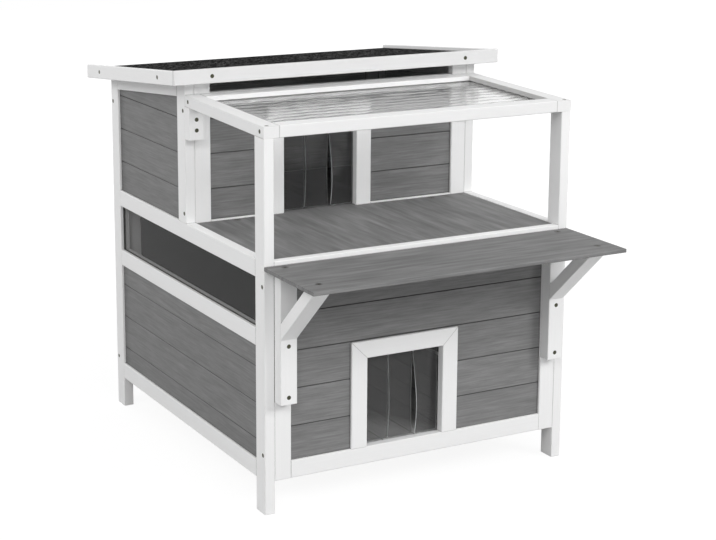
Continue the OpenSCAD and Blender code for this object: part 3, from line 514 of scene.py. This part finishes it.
def fir_figure(tree, where, along, ring):
    """Bent coordinates feed three noises that are stretched along the grain: rings, bands and pores."""
    bend = add(tree, "TexNoise", {"Vector": stretched(tree, where, along, *BEND), "Scale": 1.0})
    bend = add(tree, "VectorMath", {0: bend.outputs["Color"], 1: (BEND_BY, BEND_BY, BEND_BY)},
               operation="MULTIPLY")
    bent = add(tree, "VectorMath", {0: where, 1: bend}, operation="ADD")
    rings = add(tree, "TexNoise", {"Vector": stretched(tree, bent, along, *ring), "Scale": 1.0, "Detail": 4.0,
                                   "Roughness": 0.6})
    bands = add(tree, "TexNoise", {"Vector": stretched(tree, bent, along, BAND_LONG * ring[0], BAND_W),
                                   "Scale": 1.0, "Detail": 3.0})
    pores = add(tree, "TexNoise", {"Vector": stretched(tree, bent, along, *PORE), "Scale": 1.0,
                                   "Detail": 1.0})
    return rings.outputs["Fac"], bands.outputs["Fac"], pores.outputs["Fac"]


print("pores: %.0f by %.1f mm" % PORE)

# %% [markdown]
# The inner sides of the lower room's planks are darkened as painted shade, and those of the upper room and
# the underside of the roof are made pale as painted light, which keeps them from going black. Shelf and deck
# are wide boards with broad, mottled rings, and a ring of painted shade lies round each screw head. Just
# inside the doorway a pool of light is painted pale onto the floor.

# %% Tell rooms, screw heads and the painted pool of light
LOWER_ROOM_SHADE, UPPER_ROOM_LIGHT = 0.45, 4.0    # painted shade and light on the planks' inner sides, against the tone of their outer sides
DECK_LOW, DECK_HIGH = 0.5, 0.56       # heights between which the lower room gives way to the upper, in metres
HEAD_EDGE, HEAD_SHADE_RING = 0.005, 0.0095  # radius of a screw head and of the ring of painted shade round it, in metres
LIT_PATCH_TONE = 3.6                            # tone of the painted pool of light on the floor, against the rest
LIT_PATCH_EDGE = 0.03                      # half the width over which the painted light fades out, in metres
LIT_PATCH_CORNER = (354.0, 197.0, 0.0)     # a point on the edge of the painted pool of light, in mm
LIT_PATCH_SLANT = 0.54                     # how far that edge moves to the left for each step back


def room_shade_and_light(tree, where, inside):
    """Mask that is 1 on a plank's inner side, and a scale of painted shade and light there: below 1 in the
    lower room, above 1 in the upper, and 1 outside.
    """
    inner = add(tree, "Math", {0: inside(tree, where), 1: 0.0}, operation="GREATER_THAN")
    height = add(tree, "SeparateXYZ", {0: where}).outputs[2]
    room = add(tree, "MapRange", {"Value": height, "From Min": DECK_LOW, "From Max": DECK_HIGH,
                                  "To Min": LOWER_ROOM_SHADE, "To Max": UPPER_ROOM_LIGHT})
    coat = add(tree, "MapRange", {"Value": inner, "To Min": 1.0, "To Max": room})
    return inner, coat


def ringed_heads(tree, where, heads):
    """Painted shade round a sunk screw head: 1 at the head's rim and 0 from its ring's rim outwards, as seen
    from above.
    """
    flat = add(tree, "VectorMath", {0: where, 1: (1.0, 1.0, 0.0)}, operation="MULTIPLY")
    nearest = 1.0
    for spot in place([(x, y, 0.0) for x, y in heads]).tolist():
        away = add(tree, "VectorMath", {0: flat, 1: spot}, operation="DISTANCE").outputs["Value"]
        nearest = add(tree, "Math", {0: away, 1: nearest}, operation="MINIMUM")
    return add(tree, "MapRange", {"Value": nearest, "From Min": HEAD_SHADE_RING, "From Max": HEAD_EDGE})


def past_the_door(tree, where):
    """Distance beyond a slanting line on the floor, the edge of the painted pool of light, which cuts off the
    corner inside the lower doorway.
    """
    corner = place(LIT_PATCH_CORNER)
    parts = add(tree, "SeparateXYZ", {0: where})
    aside = add(tree, "Math", {0: parts, 1: corner[0]}, operation="SUBTRACT")
    deep = add(tree, "Math", {0: parts.outputs[1], 1: corner[1]}, operation="SUBTRACT")
    deep = add(tree, "Math", {0: deep, 1: LIT_PATCH_SLANT}, operation="MULTIPLY")
    return add(tree, "Math", {0: aside, 1: deep}, operation="ADD")


print("shade rings round screws: %.1f mm across" % (2000 * HEAD_SHADE_RING))

# %% [markdown]
# The stain is built up in the same order as on the real wood: the figure, the tone of each plank, stain that
# pooled or was rubbed away, and last grime with painted shade in the joints. Painted light and shade inside
# the rooms, on the floor and round the screw heads come in between. Settings leave out what a board doesn't
# have.

# %% Mix the grey stain
STAIN = ("#6E6E6E", "#848484")  # in the soft wood and on the year rings
STAIN_POOLED = "#2C2C2C"        # in seams, and as painted shade round screw heads
STAIN_PORE = "#484848"          # in the pores
STAIN_RUBBED = "#9A9893"        # along the arrises
STAIN_JOINT_SHADE = "#262626"         # grime and painted shade deep in a joint
HEAD_SHADE_SHARE = 0.7              # of the painted shade round a screw head
RUBBED_SHARE = 0.25             # of the rubbed tone on an arris
JOINT_SHARE = 0.8               # of the grime and painted shade in a joint
PLANK_RING = (90.0, 3.4)        # length and width of a streak on the planks, in mm
BOARD_RING = (190.0, 12.0)      # the same on the wide boards
PLANK_LUCK = 0.05               # how far the tone of a plank strays
PLANK_JUMP = 3.0                # most that two planks lie apart in the pattern, in metres
STAIN_ARRIS = 1.0               # radius of an arris, in mm
STAIN_REACH = 4.0               # reach into a joint, in mm
STAIN_RIDGE = 0.0004            # height of the year rings, in metres
STAIN_ROUGH = (0.55, 0.75)      # matte


def grey_stain(name, along, first=None, step=1.0, tone=1.0, inside=None, across="z", ring=PLANK_RING,
               mottle=0.1, grain=1.0, heads=(), lit_patch=None):
    """Water based stain on fir: year rings as streaks, mottled bands, darker pores and seams, one tone to a
    plank. first and step are the first seam and the width of a plank in mm, and tone scales the plank's tone
    as painted light and shade. inside gives the rooms their painted shade and light. mottle is how far the
    bands differ, and grain how far the rings do. Rings of painted shade lie round the heads, grime and
    painted shade darken the joints, and a pool of light is painted pale before the line that lit_patch gives."""
    finish, tree, shader, on_house = new_finish(name)
    where = on_house
    if inside:
        inner, coat = room_shade_and_light(tree, on_house, inside)
    if first is not None:
        pooled, luck = plank_seams(tree, on_house, first, step, across)
        jump = add(tree, "VectorMath", {0: luck.outputs["Color"], 1: (PLANK_JUMP, PLANK_JUMP, PLANK_JUMP)},
                   operation="MULTIPLY")
        where = add(tree, "VectorMath", {0: on_house, 1: jump}, operation="ADD")
    rings, bands, pores = fir_figure(tree, where, along, ring)
    streak = add(tree, "MapRange", {"Value": rings, "From Min": 0.32, "From Max": 0.68,
                                    "To Min": 0.5 - grain / 2, "To Max": 0.5 + grain / 2})
    band = add(tree, "MapRange", {"Value": bands, "From Min": 0.3, "From Max": 0.7,
                                  "To Min": (1 - mottle) * tone, "To Max": (1 + mottle) * tone})
    pore = add(tree, "MapRange", {"Value": pores, "From Min": 0.62, "From Max": 0.75, "To Max": 0.22})
    soft_wood, year_ring = (colour(shade) for shade in STAIN)
    body = add(tree, "MixRGB", {"Fac": streak, "Color1": soft_wood, "Color2": year_ring})
    body = add(tree, "VectorMath", {0: body, "Scale": band}, operation="SCALE")
    if first is not None:
        each = add(tree, "MapRange", {"Value": luck.outputs["Value"], "To Min": 1 - PLANK_LUCK,
                                      "To Max": 1 + PLANK_LUCK})
        body = add(tree, "VectorMath", {0: body, "Scale": each}, operation="SCALE")
        if inside:
            outer = add(tree, "Math", {0: 1.0, 1: inner}, operation="SUBTRACT")
            pooled = add(tree, "Math", {0: pooled, 1: outer}, operation="MULTIPLY")
        body = add(tree, "MixRGB", {"Fac": pooled, "Color1": body, "Color2": colour(STAIN_POOLED)})
    body = add(tree, "MixRGB", {"Fac": pore, "Color1": body, "Color2": colour(STAIN_PORE)})
    # Painted shade in the lower room and painted light in the upper, on the planks' inner sides.
    if inside:
        body = add(tree, "VectorMath", {0: body, "Scale": coat}, operation="SCALE")
    # A pool of light painted pale onto the floor inside the doorway.
    if lit_patch:
        pale = add(tree, "MapRange", {"Value": lit_patch(tree, on_house), "From Min": -LIT_PATCH_EDGE,
                                      "From Max": LIT_PATCH_EDGE, "To Min": LIT_PATCH_TONE, "To Max": 1.0})
        body = add(tree, "VectorMath", {0: body, "Scale": pale}, operation="SCALE")
    if heads:
        # A ring of painted shade round each screw head.
        body = layered(tree, body, (ringed_heads(tree, on_house, heads), HEAD_SHADE_SHARE, STAIN_POOLED))
    edge, soft = worn_edge(tree, STAIN_ARRIS)
    # Ambient occlusion darkens the joints: grime and painted shade.
    joints = crevice_shade(tree, STAIN_REACH)
    body = layered(tree, body, (edge, RUBBED_SHARE, STAIN_RUBBED), (joints, JOINT_SHARE, STAIN_JOINT_SHADE))
    surfaced(tree, shader, body, rings, STAIN_ROUGH, STAIN_RIDGE, 0.5, soft)
    return finish


print("streaks on planks: %.0f by %.1f mm" % PLANK_RING)

# %% [markdown]
# One material covers both sides of a wall's planks, so a rule says which side is the room's: the middle of
# the planks parts them. The floor planks run front to back. Their joints are closed, so only the stain that
# pooled in them shows.

# %% Stain the planks and boards
PLANK_W, FRONT_PLANK_W = 79.5, 82.0      # cover of a plank, in mm
LOWER_SEAM, FRONT_SEAM, UPPER_SEAM = 152.0, 184.0, 617.0  # height of the first seam of each wall, in mm
FLOOR_SEAM = -73.0                       # x of the first seam of the floor from the middle, in mm
HALF_PLANK = 13.0                        # from the outer face of a wall to the middle of its planks, in mm
UPPER_FRONT, BACK_MIDDLE = 405.0, 817.0  # y of the middle of the upper front's and the back's planks, in mm
SHELF_HEADS = ((38.2, -19.0), (711.8, -19.0), (38.2, -165.2), (711.8, -165.2))  # x and y of screws, in mm
DECK_HEADS = ((121.0, 381.0), (629.0, 381.0))


def before(distance):
    """The same distance with its sign turned, so that it counts from the limit towards the rooms."""
    def other_way(tree, where):
        return add(tree, "Math", {0: 0.0, 1: distance(tree, where)}, operation="SUBTRACT")
    return other_way


side_inside = before(past("x", HOUSE_W / 2 - HALF_PLANK, either_way=True))
back_inside = before(past("y", BACK_MIDDLE))
front_inside = past("y", HALF_PLANK)
upper_inside = past("y", UPPER_FRONT)

# Each tone here is painted light and shade as well as stain: it makes up for how much light each wall or
# board gets, and is highest on the floor inside.
stain_side_lower = grey_stain("grey_stained_fir_side", "y", LOWER_SEAM, PLANK_W, 0.81, side_inside)
stain_side_upper = grey_stain("grey_stained_fir_upper_side", "y", UPPER_SEAM, PLANK_W, 0.79, side_inside)
stain_front = grey_stain("grey_stained_fir_front", "x", FRONT_SEAM, FRONT_PLANK_W, 0.97, front_inside)
stain_upper_front = grey_stain("grey_stained_fir_upper_front", "x", UPPER_SEAM, PLANK_W, 0.94, upper_inside)
stain_back = grey_stain("grey_stained_fir_back", "x", LOWER_SEAM, PLANK_W, 0.86, back_inside)
stain_deck = grey_stain("grey_stained_deck", "y", tone=0.85, ring=BOARD_RING, mottle=0.25, heads=DECK_HEADS)
stain_shelf = grey_stain("grey_stained_shelf", "x", tone=0.8, ring=BOARD_RING, mottle=0.25, heads=SHELF_HEADS)
stain_floor = grey_stain("grey_stained_floor", "y", FLOOR_SEAM, PLANK_W, 1.25, across="x", lit_patch=past_the_door)
# The pale tone of the roof's underside is painted light for the upper room.
pale_board_painted_light = grey_stain("grey_board_painted_light", "x", tone=UPPER_ROOM_LIGHT, ring=BOARD_RING, mottle=0.03, grain=0.3)
print("darkest stain:", stain_side_upper.name, "palest:", pale_board_painted_light.name)

# %% [markdown]
# ## Bare fir
# Bearers and ledgers are never seen from the front, so they were left as planed fir: pale yellow, with the
# same streaks as the rest. Wood without a coat scatters light, so it is rougher than paint.

# %% Plane the bare fir
FIR_RING = (200.0, 4.5)       # length and width of a streak, in mm
FIR = ("#C9A878", "#E6CFA6")  # year rings and the soft wood between them
FIR_RIDGE = 0.0003            # height of the year rings, in metres
FIR_ROUGH = (0.55, 0.7)       # matte


def bare_fir(name, along):
    """Planed fir without a finish: cream wood with honey coloured year rings."""
    finish, tree, shader, where = new_finish(name)
    rings = add(tree, "TexNoise", {"Vector": stretched(tree, where, along, *FIR_RING), "Scale": 1.0,
                                   "Detail": 4.0}).outputs["Fac"]
    streak = add(tree, "MapRange", {"Value": rings, "From Min": 0.3, "From Max": 0.7})
    body = add(tree, "MixRGB", {"Fac": streak, "Color1": colour(FIR[0]), "Color2": colour(FIR[1])})
    surfaced(tree, shader, body, rings, FIR_ROUGH, FIR_RIDGE, 0.4)
    return finish


fir_across = bare_fir("bare_fir_across", "x")
print("bare fir:", fir_across.name)

# %% [markdown]
# ## Zinc plated steel
# The screws are zinc plated and passivated, which leaves a dull olive tint. Plated threads and stamped
# leaves are never quite even, so the roughness has fine clouds.

# %% Plate the screws and hinges
ZINC_CLOUDS = 350.0  # to the metre, so each is about 3 mm wide


def zinc(name, dark, bright):
    """Passivated zinc on steel: a metal with two close tints and cloudy roughness."""
    finish, tree, shader, where = new_finish(name)
    clouds = add(tree, "TexNoise", {"Vector": where, "Scale": ZINC_CLOUDS, "Detail": 3.0}).outputs["Fac"]
    body = add(tree, "MixRGB", {"Fac": clouds, "Color1": colour(dark), "Color2": colour(bright)})
    gloss = add(tree, "MapRange", {"Value": clouds, "To Min": 0.3, "To Max": 0.55})
    feed(tree, shader, {"Base Color": body, "Roughness": gloss, "Metallic": 1.0})
    return finish


zinc_screw = zinc("passivated_zinc_screw", "#3C3D30", "#68685A")
zinc_hinge = zinc("zinc_plated_hinge", "#85868A", "#A6A8AB")
print("zinc:", zinc_screw.name, zinc_hinge.name)

# %% [markdown]
# ## Clear PVC
# Three clear plastics close the house. The canopy sheet is extruded PVC with rolled ribs: it is glass-like
# with a slight grey tint, and its reflections come from its refractive index. The window is a flat acrylic
# pane, and the doorway strips are soft PVC cut from a roll. Both let most light straight through and keep a
# thin haze, whose dark grey tone is painted shade: it stands in for the dim rooms behind them, and hides
# them.

# %% Mix the clear plastics
PVC_IOR, ACRYLIC_IOR = 1.53, 1.49  # refractive indices
SHEET_SHADE = 0.38  # share of the lamp light that one face of the sheet holds back
HAZE_CLOUDS = 28.0  # to the metre, so each is about 36 mm wide


def clear_plastic(name, tint, ior, smooth, rough, alpha=1.0):
    """Clear plastic with roughness clouds: bent light through a whole sheet, or a thin haze where alpha is
    low. A bent ray never finds a lamp, so the whole sheet turns clear to the rays that look for one, and its
    shadow stays light."""
    finish, tree, shader, where = new_finish(name)
    haze = add(tree, "TexNoise", {"Vector": where, "Scale": HAZE_CLOUDS, "Detail": 3.0})
    gloss = add(tree, "MapRange", {"Value": haze.outputs["Fac"], "To Min": smooth, "To Max": rough})
    feed(tree, shader, {"Roughness": gloss, "Base Color": colour(tint), "IOR": ior})
    if alpha < 1.0:
        feed(tree, shader, {"Alpha": alpha})
    else:
        lit = add(tree, "LightPath").outputs["Is Shadow Ray"]
        solid = add(tree, "MapRange", {"Value": lit, "To Min": 1.0, "To Max": SHEET_SHADE})
        feed(tree, shader, {"Alpha": solid, "Transmission Weight": 1.0})
    return finish


clear_sheet = clear_plastic("extruded_clear_pvc_sheet", "#ECECEC", PVC_IOR, 0.03, 0.09)
# The dark tints of pane and strips are painted shade for the dim rooms behind them.
clear_pane = clear_plastic("clear_acrylic_pane", "#303030", ACRYLIC_IOR, 0.02, 0.06, alpha=0.2)
clear_strip = clear_plastic("soft_clear_pvc_strip", "#4A4A4A", PVC_IOR, 0.04, 0.1, alpha=0.35)
print("clear plastics:", clear_sheet.name, clear_pane.name, clear_strip.name)

# %% [markdown]
# A knife leaves small scratches along a cut edge. They scatter light, so the edge looks frosted where the
# faces are clear.

# %% Frost the cut edges
CUT = (9.0, 0.6)  # length and width of a scratch, in mm


def frosted_edge(name):
    """Knife-cut edge of clear PVC: milky, with fine scratches along the cut."""
    finish, tree, shader, where = new_finish(name)
    cuts = add(tree, "TexNoise", {"Vector": stretched(tree, where, "z", *CUT), "Scale": 1.0,
                                  "Detail": 2.0}).outputs["Fac"]
    body = add(tree, "MixRGB", {"Fac": cuts, "Color1": colour("#D4D8D8"), "Color2": colour("#F4F6F6")})
    gloss = add(tree, "MapRange", {"Value": cuts, "To Min": 0.3, "To Max": 0.5})
    feed(tree, shader, {"Base Color": body, "Roughness": gloss, "IOR": PVC_IOR, "Transmission Weight": 0.25})
    return finish


cut_pvc = frosted_edge("knife_cut_pvc_edge")
print("cut edge:", cut_pvc.name)

# %% [markdown]
# ## Mineral felt
# The roof is covered with bitumen felt that is strewn with crushed slate. Seen close, it is black grit with
# paler grains of 1 to 2 mm, which clump. The clumps are drawn at 4 mm, so that they still show in the
# picture.

# %% Strew the felt
GRIT = 240.0              # clumps to the metre, so each is about 4 mm wide
FELT_CLOUDS = 9.0         # to the metre, so each is about 110 mm wide
GRIT_H = 0.0008           # height of a clump, in metres
GRIT_ROUGH = (0.95, 0.7)  # of the lowest and the highest clumps
GRIT_RAMP = ((0.0, "#181818"), (0.65, "#262626"), (1.0, "#707070"))  # share of clumps below a tone, tone


def mineral_felt(name):
    """Bitumen felt with slate granules: a cell to a grain, most black, some grey, each of its own height."""
    finish, tree, shader, where = new_finish(name)
    grains = add(tree, "TexVoronoi", {"Vector": where, "Scale": GRIT, "Randomness": 1.0})
    clouds = add(tree, "TexNoise", {"Vector": where, "Scale": FELT_CLOUDS, "Detail": 3.0})
    height = add(tree, "SeparateColor", {0: grains.outputs["Color"]})
    stone = add(tree, "ValToRGB", {"Fac": height})
    elements = stone.color_ramp.elements
    elements.new(GRIT_RAMP[1][0])
    for element, (position, shade) in zip(elements, GRIT_RAMP):
        element.position = position
        element.color = colour(shade)
    cloud = add(tree, "MapRange", {"Value": clouds.outputs["Fac"], "From Min": 0.3, "From Max": 0.7,
                                   "To Min": 0.88, "To Max": 1.12})
    body = add(tree, "VectorMath", {0: stone, "Scale": cloud}, operation="SCALE")
    surfaced(tree, shader, body, height, GRIT_ROUGH, GRIT_H, 0.7)
    feed(tree, shader, {"Specular IOR Level": 0.0})
    return finish


felt_finish = mineral_felt("slate_mineral_felt")
print("felt:", felt_finish.name)

# %% [markdown]
# ## Finishes on the CAD pieces
# Each CAD piece has one material slot, which now gets the finish of its batten, plank or fitting. The table
# goes from finish to pieces, as a paint shop's list does.

# %% Paint, stain and plate the CAD pieces
sides = ("left", "right")
finishes = {
    paint_up: [level + s + "_stile" for level in ("front_", "upper_") for s in sides]
              + [s + p for s in sides for p in ("_front_post", "_back_post", "_canopy_cleat")]
              + [s + "_bracket_board" for s in sides],
    paint_deep: [s + p for s in sides for p in ("_rails", "_fascia")],
    paint_across: ["front_bottom_rail", "front_deck_rail", "upper_top_rail", "upper_sill_strip",
                   "lower_curtain_batten", "upper_curtain_batten"],
    paint_fascia: ["front_fascia", "back_fascia"],
    paint_strut: [s + "_bracket_strut" for s in sides],
    paint_lower_trim: ["lower_door_trim"],
    paint_upper_trim: ["upper_door_trim"],
    paint_canopy: ["canopy_frame"],
    paint_side_frame: [s + "_upper_frame" for s in sides],
    paint_back_frame: ["back_frame"],
    stain_side_lower: [s + "_lower_planks" for s in sides],
    stain_back: ["back_planks"],
    stain_side_upper: [s + "_upper_planks" for s in sides],
    stain_front: ["front_planks"],
    stain_upper_front: ["upper_front_planks"],
    stain_deck: ["deck_board"],
    stain_shelf: ["shelf_board"],
    stain_floor: ["floor_board"],
    pale_board_painted_light: ["roof_board"],
    fir_across: ["floor_bearers", "deck_ledgers"],
    felt_finish: ["roof_felt"],
    clear_sheet: ["canopy_sheet"],
    clear_pane: [s + "_window_pane" for s in sides],
    clear_strip: [level + "_strip_" + p for level in ("lower", "upper") for p in ("left", "middle", "right")],
    zinc_screw: ["house_screws", "roof_screws"],
    zinc_hinge: ["hinge_wall_leaves", "hinge_roof_leaves", "hinge_pins"],
}
for finish, names in finishes.items():
    for name in names:
        for slot in nodes[name].material_slots:
            slot.material = finish
without = sorted(set(nodes) - {name for names in finishes.values() for name in names})
print("pieces without a finish:", without)

# %% [markdown]
# ## Thin pieces from grids
# Two kinds of piece are replaced, the strips and the ribbed sheet, because the real ones are softer or wavier
# than their solids. Each is a grid of points with rows and columns, and Solidify gives it its thickness
# afterwards, so that a curl or a wave is worked out only once.

# %% Turn a grid into a piece


def grid_piece(name, points, *coats):
    """Object over a grid of points: each cell between two rows and two columns is one four-sided face."""
    rows, columns = points.shape[:2]
    index = np.arange(rows * columns).reshape(rows, columns)
    cells = np.stack((index[:-1, :-1], index[:-1, 1:], index[1:, 1:], index[1:, :-1]), axis=-1)
    mesh = bpy.data.meshes.new(name)
    mesh.from_pydata(place(points.reshape(-1, 3)).tolist(), [], cells.reshape(-1, 4).tolist())
    mesh.shade_smooth()
    for coat in coats:
        mesh.materials.append(coat)
    piece = bpy.data.objects.new(name, mesh)
    bpy.context.scene.collection.objects.link(piece)
    return piece


def thicken(piece, thick_mm, offset, rim=0):
    """Gives a grid its thickness to one side or both, with the finish of the cut edge on its rim."""
    shell = piece.modifiers.new("thickness", "SOLIDIFY")
    shell.thickness, shell.offset, shell.material_offset_rim = thick_mm / 1000.0, offset, rim
    shell.use_even_offset = True


print("CAD strip:", [round(side, 1) for side in np.subtract(*house_box("lower_strip_left")[::-1])])

# %% [markdown]
# ## Soft strips in the doorways
# Real strips are cut from a roll of 2 mm soft PVC and stapled to their batten. They keep some curl of the
# roll, so their edges stand a little forward of each other and leave dark gaps, while the stapled top stays
# straight. The rows of the grid follow the rounded foot, and the columns bend forward.

# %% Bend a strip
STRIP_ROUND = 5.0                      # radius of the two corners at the foot, in mm
LOWEST_CURL = 0.6                      # share of the height, from the top down, where the curl is widest
ROUND_ROWS, ROWS, COLUMNS = 7, 42, 13  # of the grid: round the foot, above it, and across
DRAWN_IN = 0.3                         # how far an edge moves inwards for each step that it curls


def strip_points(node, left_curl, right_curl, left_foot):
    """Rounded strip: half the width shrinks at the foot as a circle does, and the curl is the sine of a
    power of the distance from the top, faded from one edge to the other. The left foot also leans forward,
    by the square of that distance."""
    low, high = house_box(node)
    foot = STRIP_ROUND * (1 - np.cos(np.linspace(0, np.pi / 2, ROUND_ROWS)))
    heights = np.concatenate((foot, np.linspace(STRIP_ROUND, high[2] - low[2], ROWS)[1:]))[:, None]
    across = np.linspace(0, 1, COLUMNS)[None, :]
    short = STRIP_ROUND - np.minimum(heights, STRIP_ROUND)
    half = (high[0] - low[0]) / 2 - STRIP_ROUND + np.sqrt(STRIP_ROUND ** 2 - short ** 2)
    drop = 1 - heights / (high[2] - low[2])
    curl = np.sin(np.pi * drop ** (math.log(0.5) / math.log(LOWEST_CURL)))
    left_by, right_by = left_curl * curl + left_foot * drop ** 2, right_curl * curl
    forward_by = left_by * (1 - across) ** 2 + right_by * across ** 2
    inward = (np.abs(left_by) * (1 - across) ** 2 - np.abs(right_by) * across ** 2) * DRAWN_IN
    x = (low[0] + high[0]) / 2 + (2 * across - 1) * half + inward
    y = (low[1] + high[1]) / 2 - forward_by
    return np.stack(np.broadcast_arrays(x, y, low[2] + heights), axis=-1)


print("points of a strip:", strip_points("lower_strip_left", 0.0, 0.0, 0.0).shape)

# %% Hang the strips
STRIP_T = 2.0  # thickness, in mm
CURLS = {      # mm forward: curl at the left edge, curl at the right edge, left foot
    "left": (0.5, 4.0, 0.0),
    "middle": (4.0, -3.0, 0.0),
    "right": (9.0, 0.5, 7.0),
}
for doorway in ("lower", "upper"):
    for position, curls in CURLS.items():
        node = doorway + "_strip_" + position
        strip = grid_piece(node + "_soft", strip_points(node, *curls), clear_strip, cut_pvc)
        thicken(strip, STRIP_T, 0.0, rim=1)
        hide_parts(node)
        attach(strip, node + "_flap")
print("soft strips:", len(CURLS) * 2)

# %% [markdown]
# ## Ribbed sheet of the canopy
# The sheet is extruded flat and its ribs are rolled in while it is warm, so they are smooth waves and never
# quite even. One grid makes it: a sine wave across, and slow swells of a few tenths of a millimetre that die
# out towards the groove in the frame. Such small swells matter, because the sheet is seen at a low angle and
# mirrors what stands behind it.

# %% Work out the waves of the sheet
RIB_COUNT = 11
RIB_H = 1.6        # of the ribs, which are flatter than the groove allows, in mm
FRAME_RIB_H = 3.0  # room for a rib in the groove, in mm
SHEET_T = 1.5      # thickness, in mm
SWELL = 1.0        # most that the slow swells can reach, in mm
SWELL_ALONG, SWELL_ACROSS = (60, 260), (26, 80)  # shortest and longest wave in each direction, in mm
SWELL_FADE = 40.0  # from the groove to where the swells are full, in mm
SWELL_WAVES, SWELL_SEED = 8, 11                  # number of waves, and the seed of their lengths
ACROSS_POINTS, RIB_POINTS = 121, 20  # of the grid: along a rib, and from one rib to the next


def swells(x, y, seed):
    """Sum of slanting sine waves with seeded lengths and phases, scaled to stay within 1."""
    chance = np.random.default_rng(seed)
    total = np.zeros(np.broadcast(x, y).shape)
    for _ in range(SWELL_WAVES):
        along, across = chance.uniform(*SWELL_ALONG), chance.uniform(*SWELL_ACROSS)
        phase = chance.uniform(0, 2 * np.pi)
        total += np.sin(2 * np.pi * (x / along + y / across) + phase)
    return total / SWELL_WAVES


def sheet_points():
    """Wave along y on the fall of the canopy: half the rib height times one plus the cosine of the rib
    angle, so that a crest lies against the frame at both ends."""
    low, high = house_box("canopy_sheet")
    x = np.linspace(low[0], high[0], ACROSS_POINTS)[None, :]
    y = np.linspace(low[1], high[1], RIB_COUNT * RIB_POINTS + 1)[:, None]
    share = (y - low[1]) / (high[1] - low[1])
    rise = high[2] - low[2] - FRAME_RIB_H - SHEET_T
    fade = np.clip(np.minimum(x - low[0], high[0] - x) / SWELL_FADE, 0, 1) * np.clip(
        np.minimum(y - low[1], high[1] - y) / SWELL_FADE, 0, 1)
    z = low[2] + FRAME_RIB_H - RIB_H + rise * share + RIB_H / 2 * (1 + np.cos(2 * np.pi * RIB_COUNT * share))
    return np.stack(np.broadcast_arrays(x, y, z + SWELL * fade * swells(x, y, SWELL_SEED)), axis=-1)


print("points of the sheet:", sheet_points().shape)

# %% Lay the sheet in its frame
ribbed = grid_piece("rolled_ribbed_sheet", sheet_points(), clear_sheet)
thicken(ribbed, SHEET_T, 1.0)
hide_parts("canopy_sheet")
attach(ribbed, "house")
print("sheet faces:", len(ribbed.data.polygons))
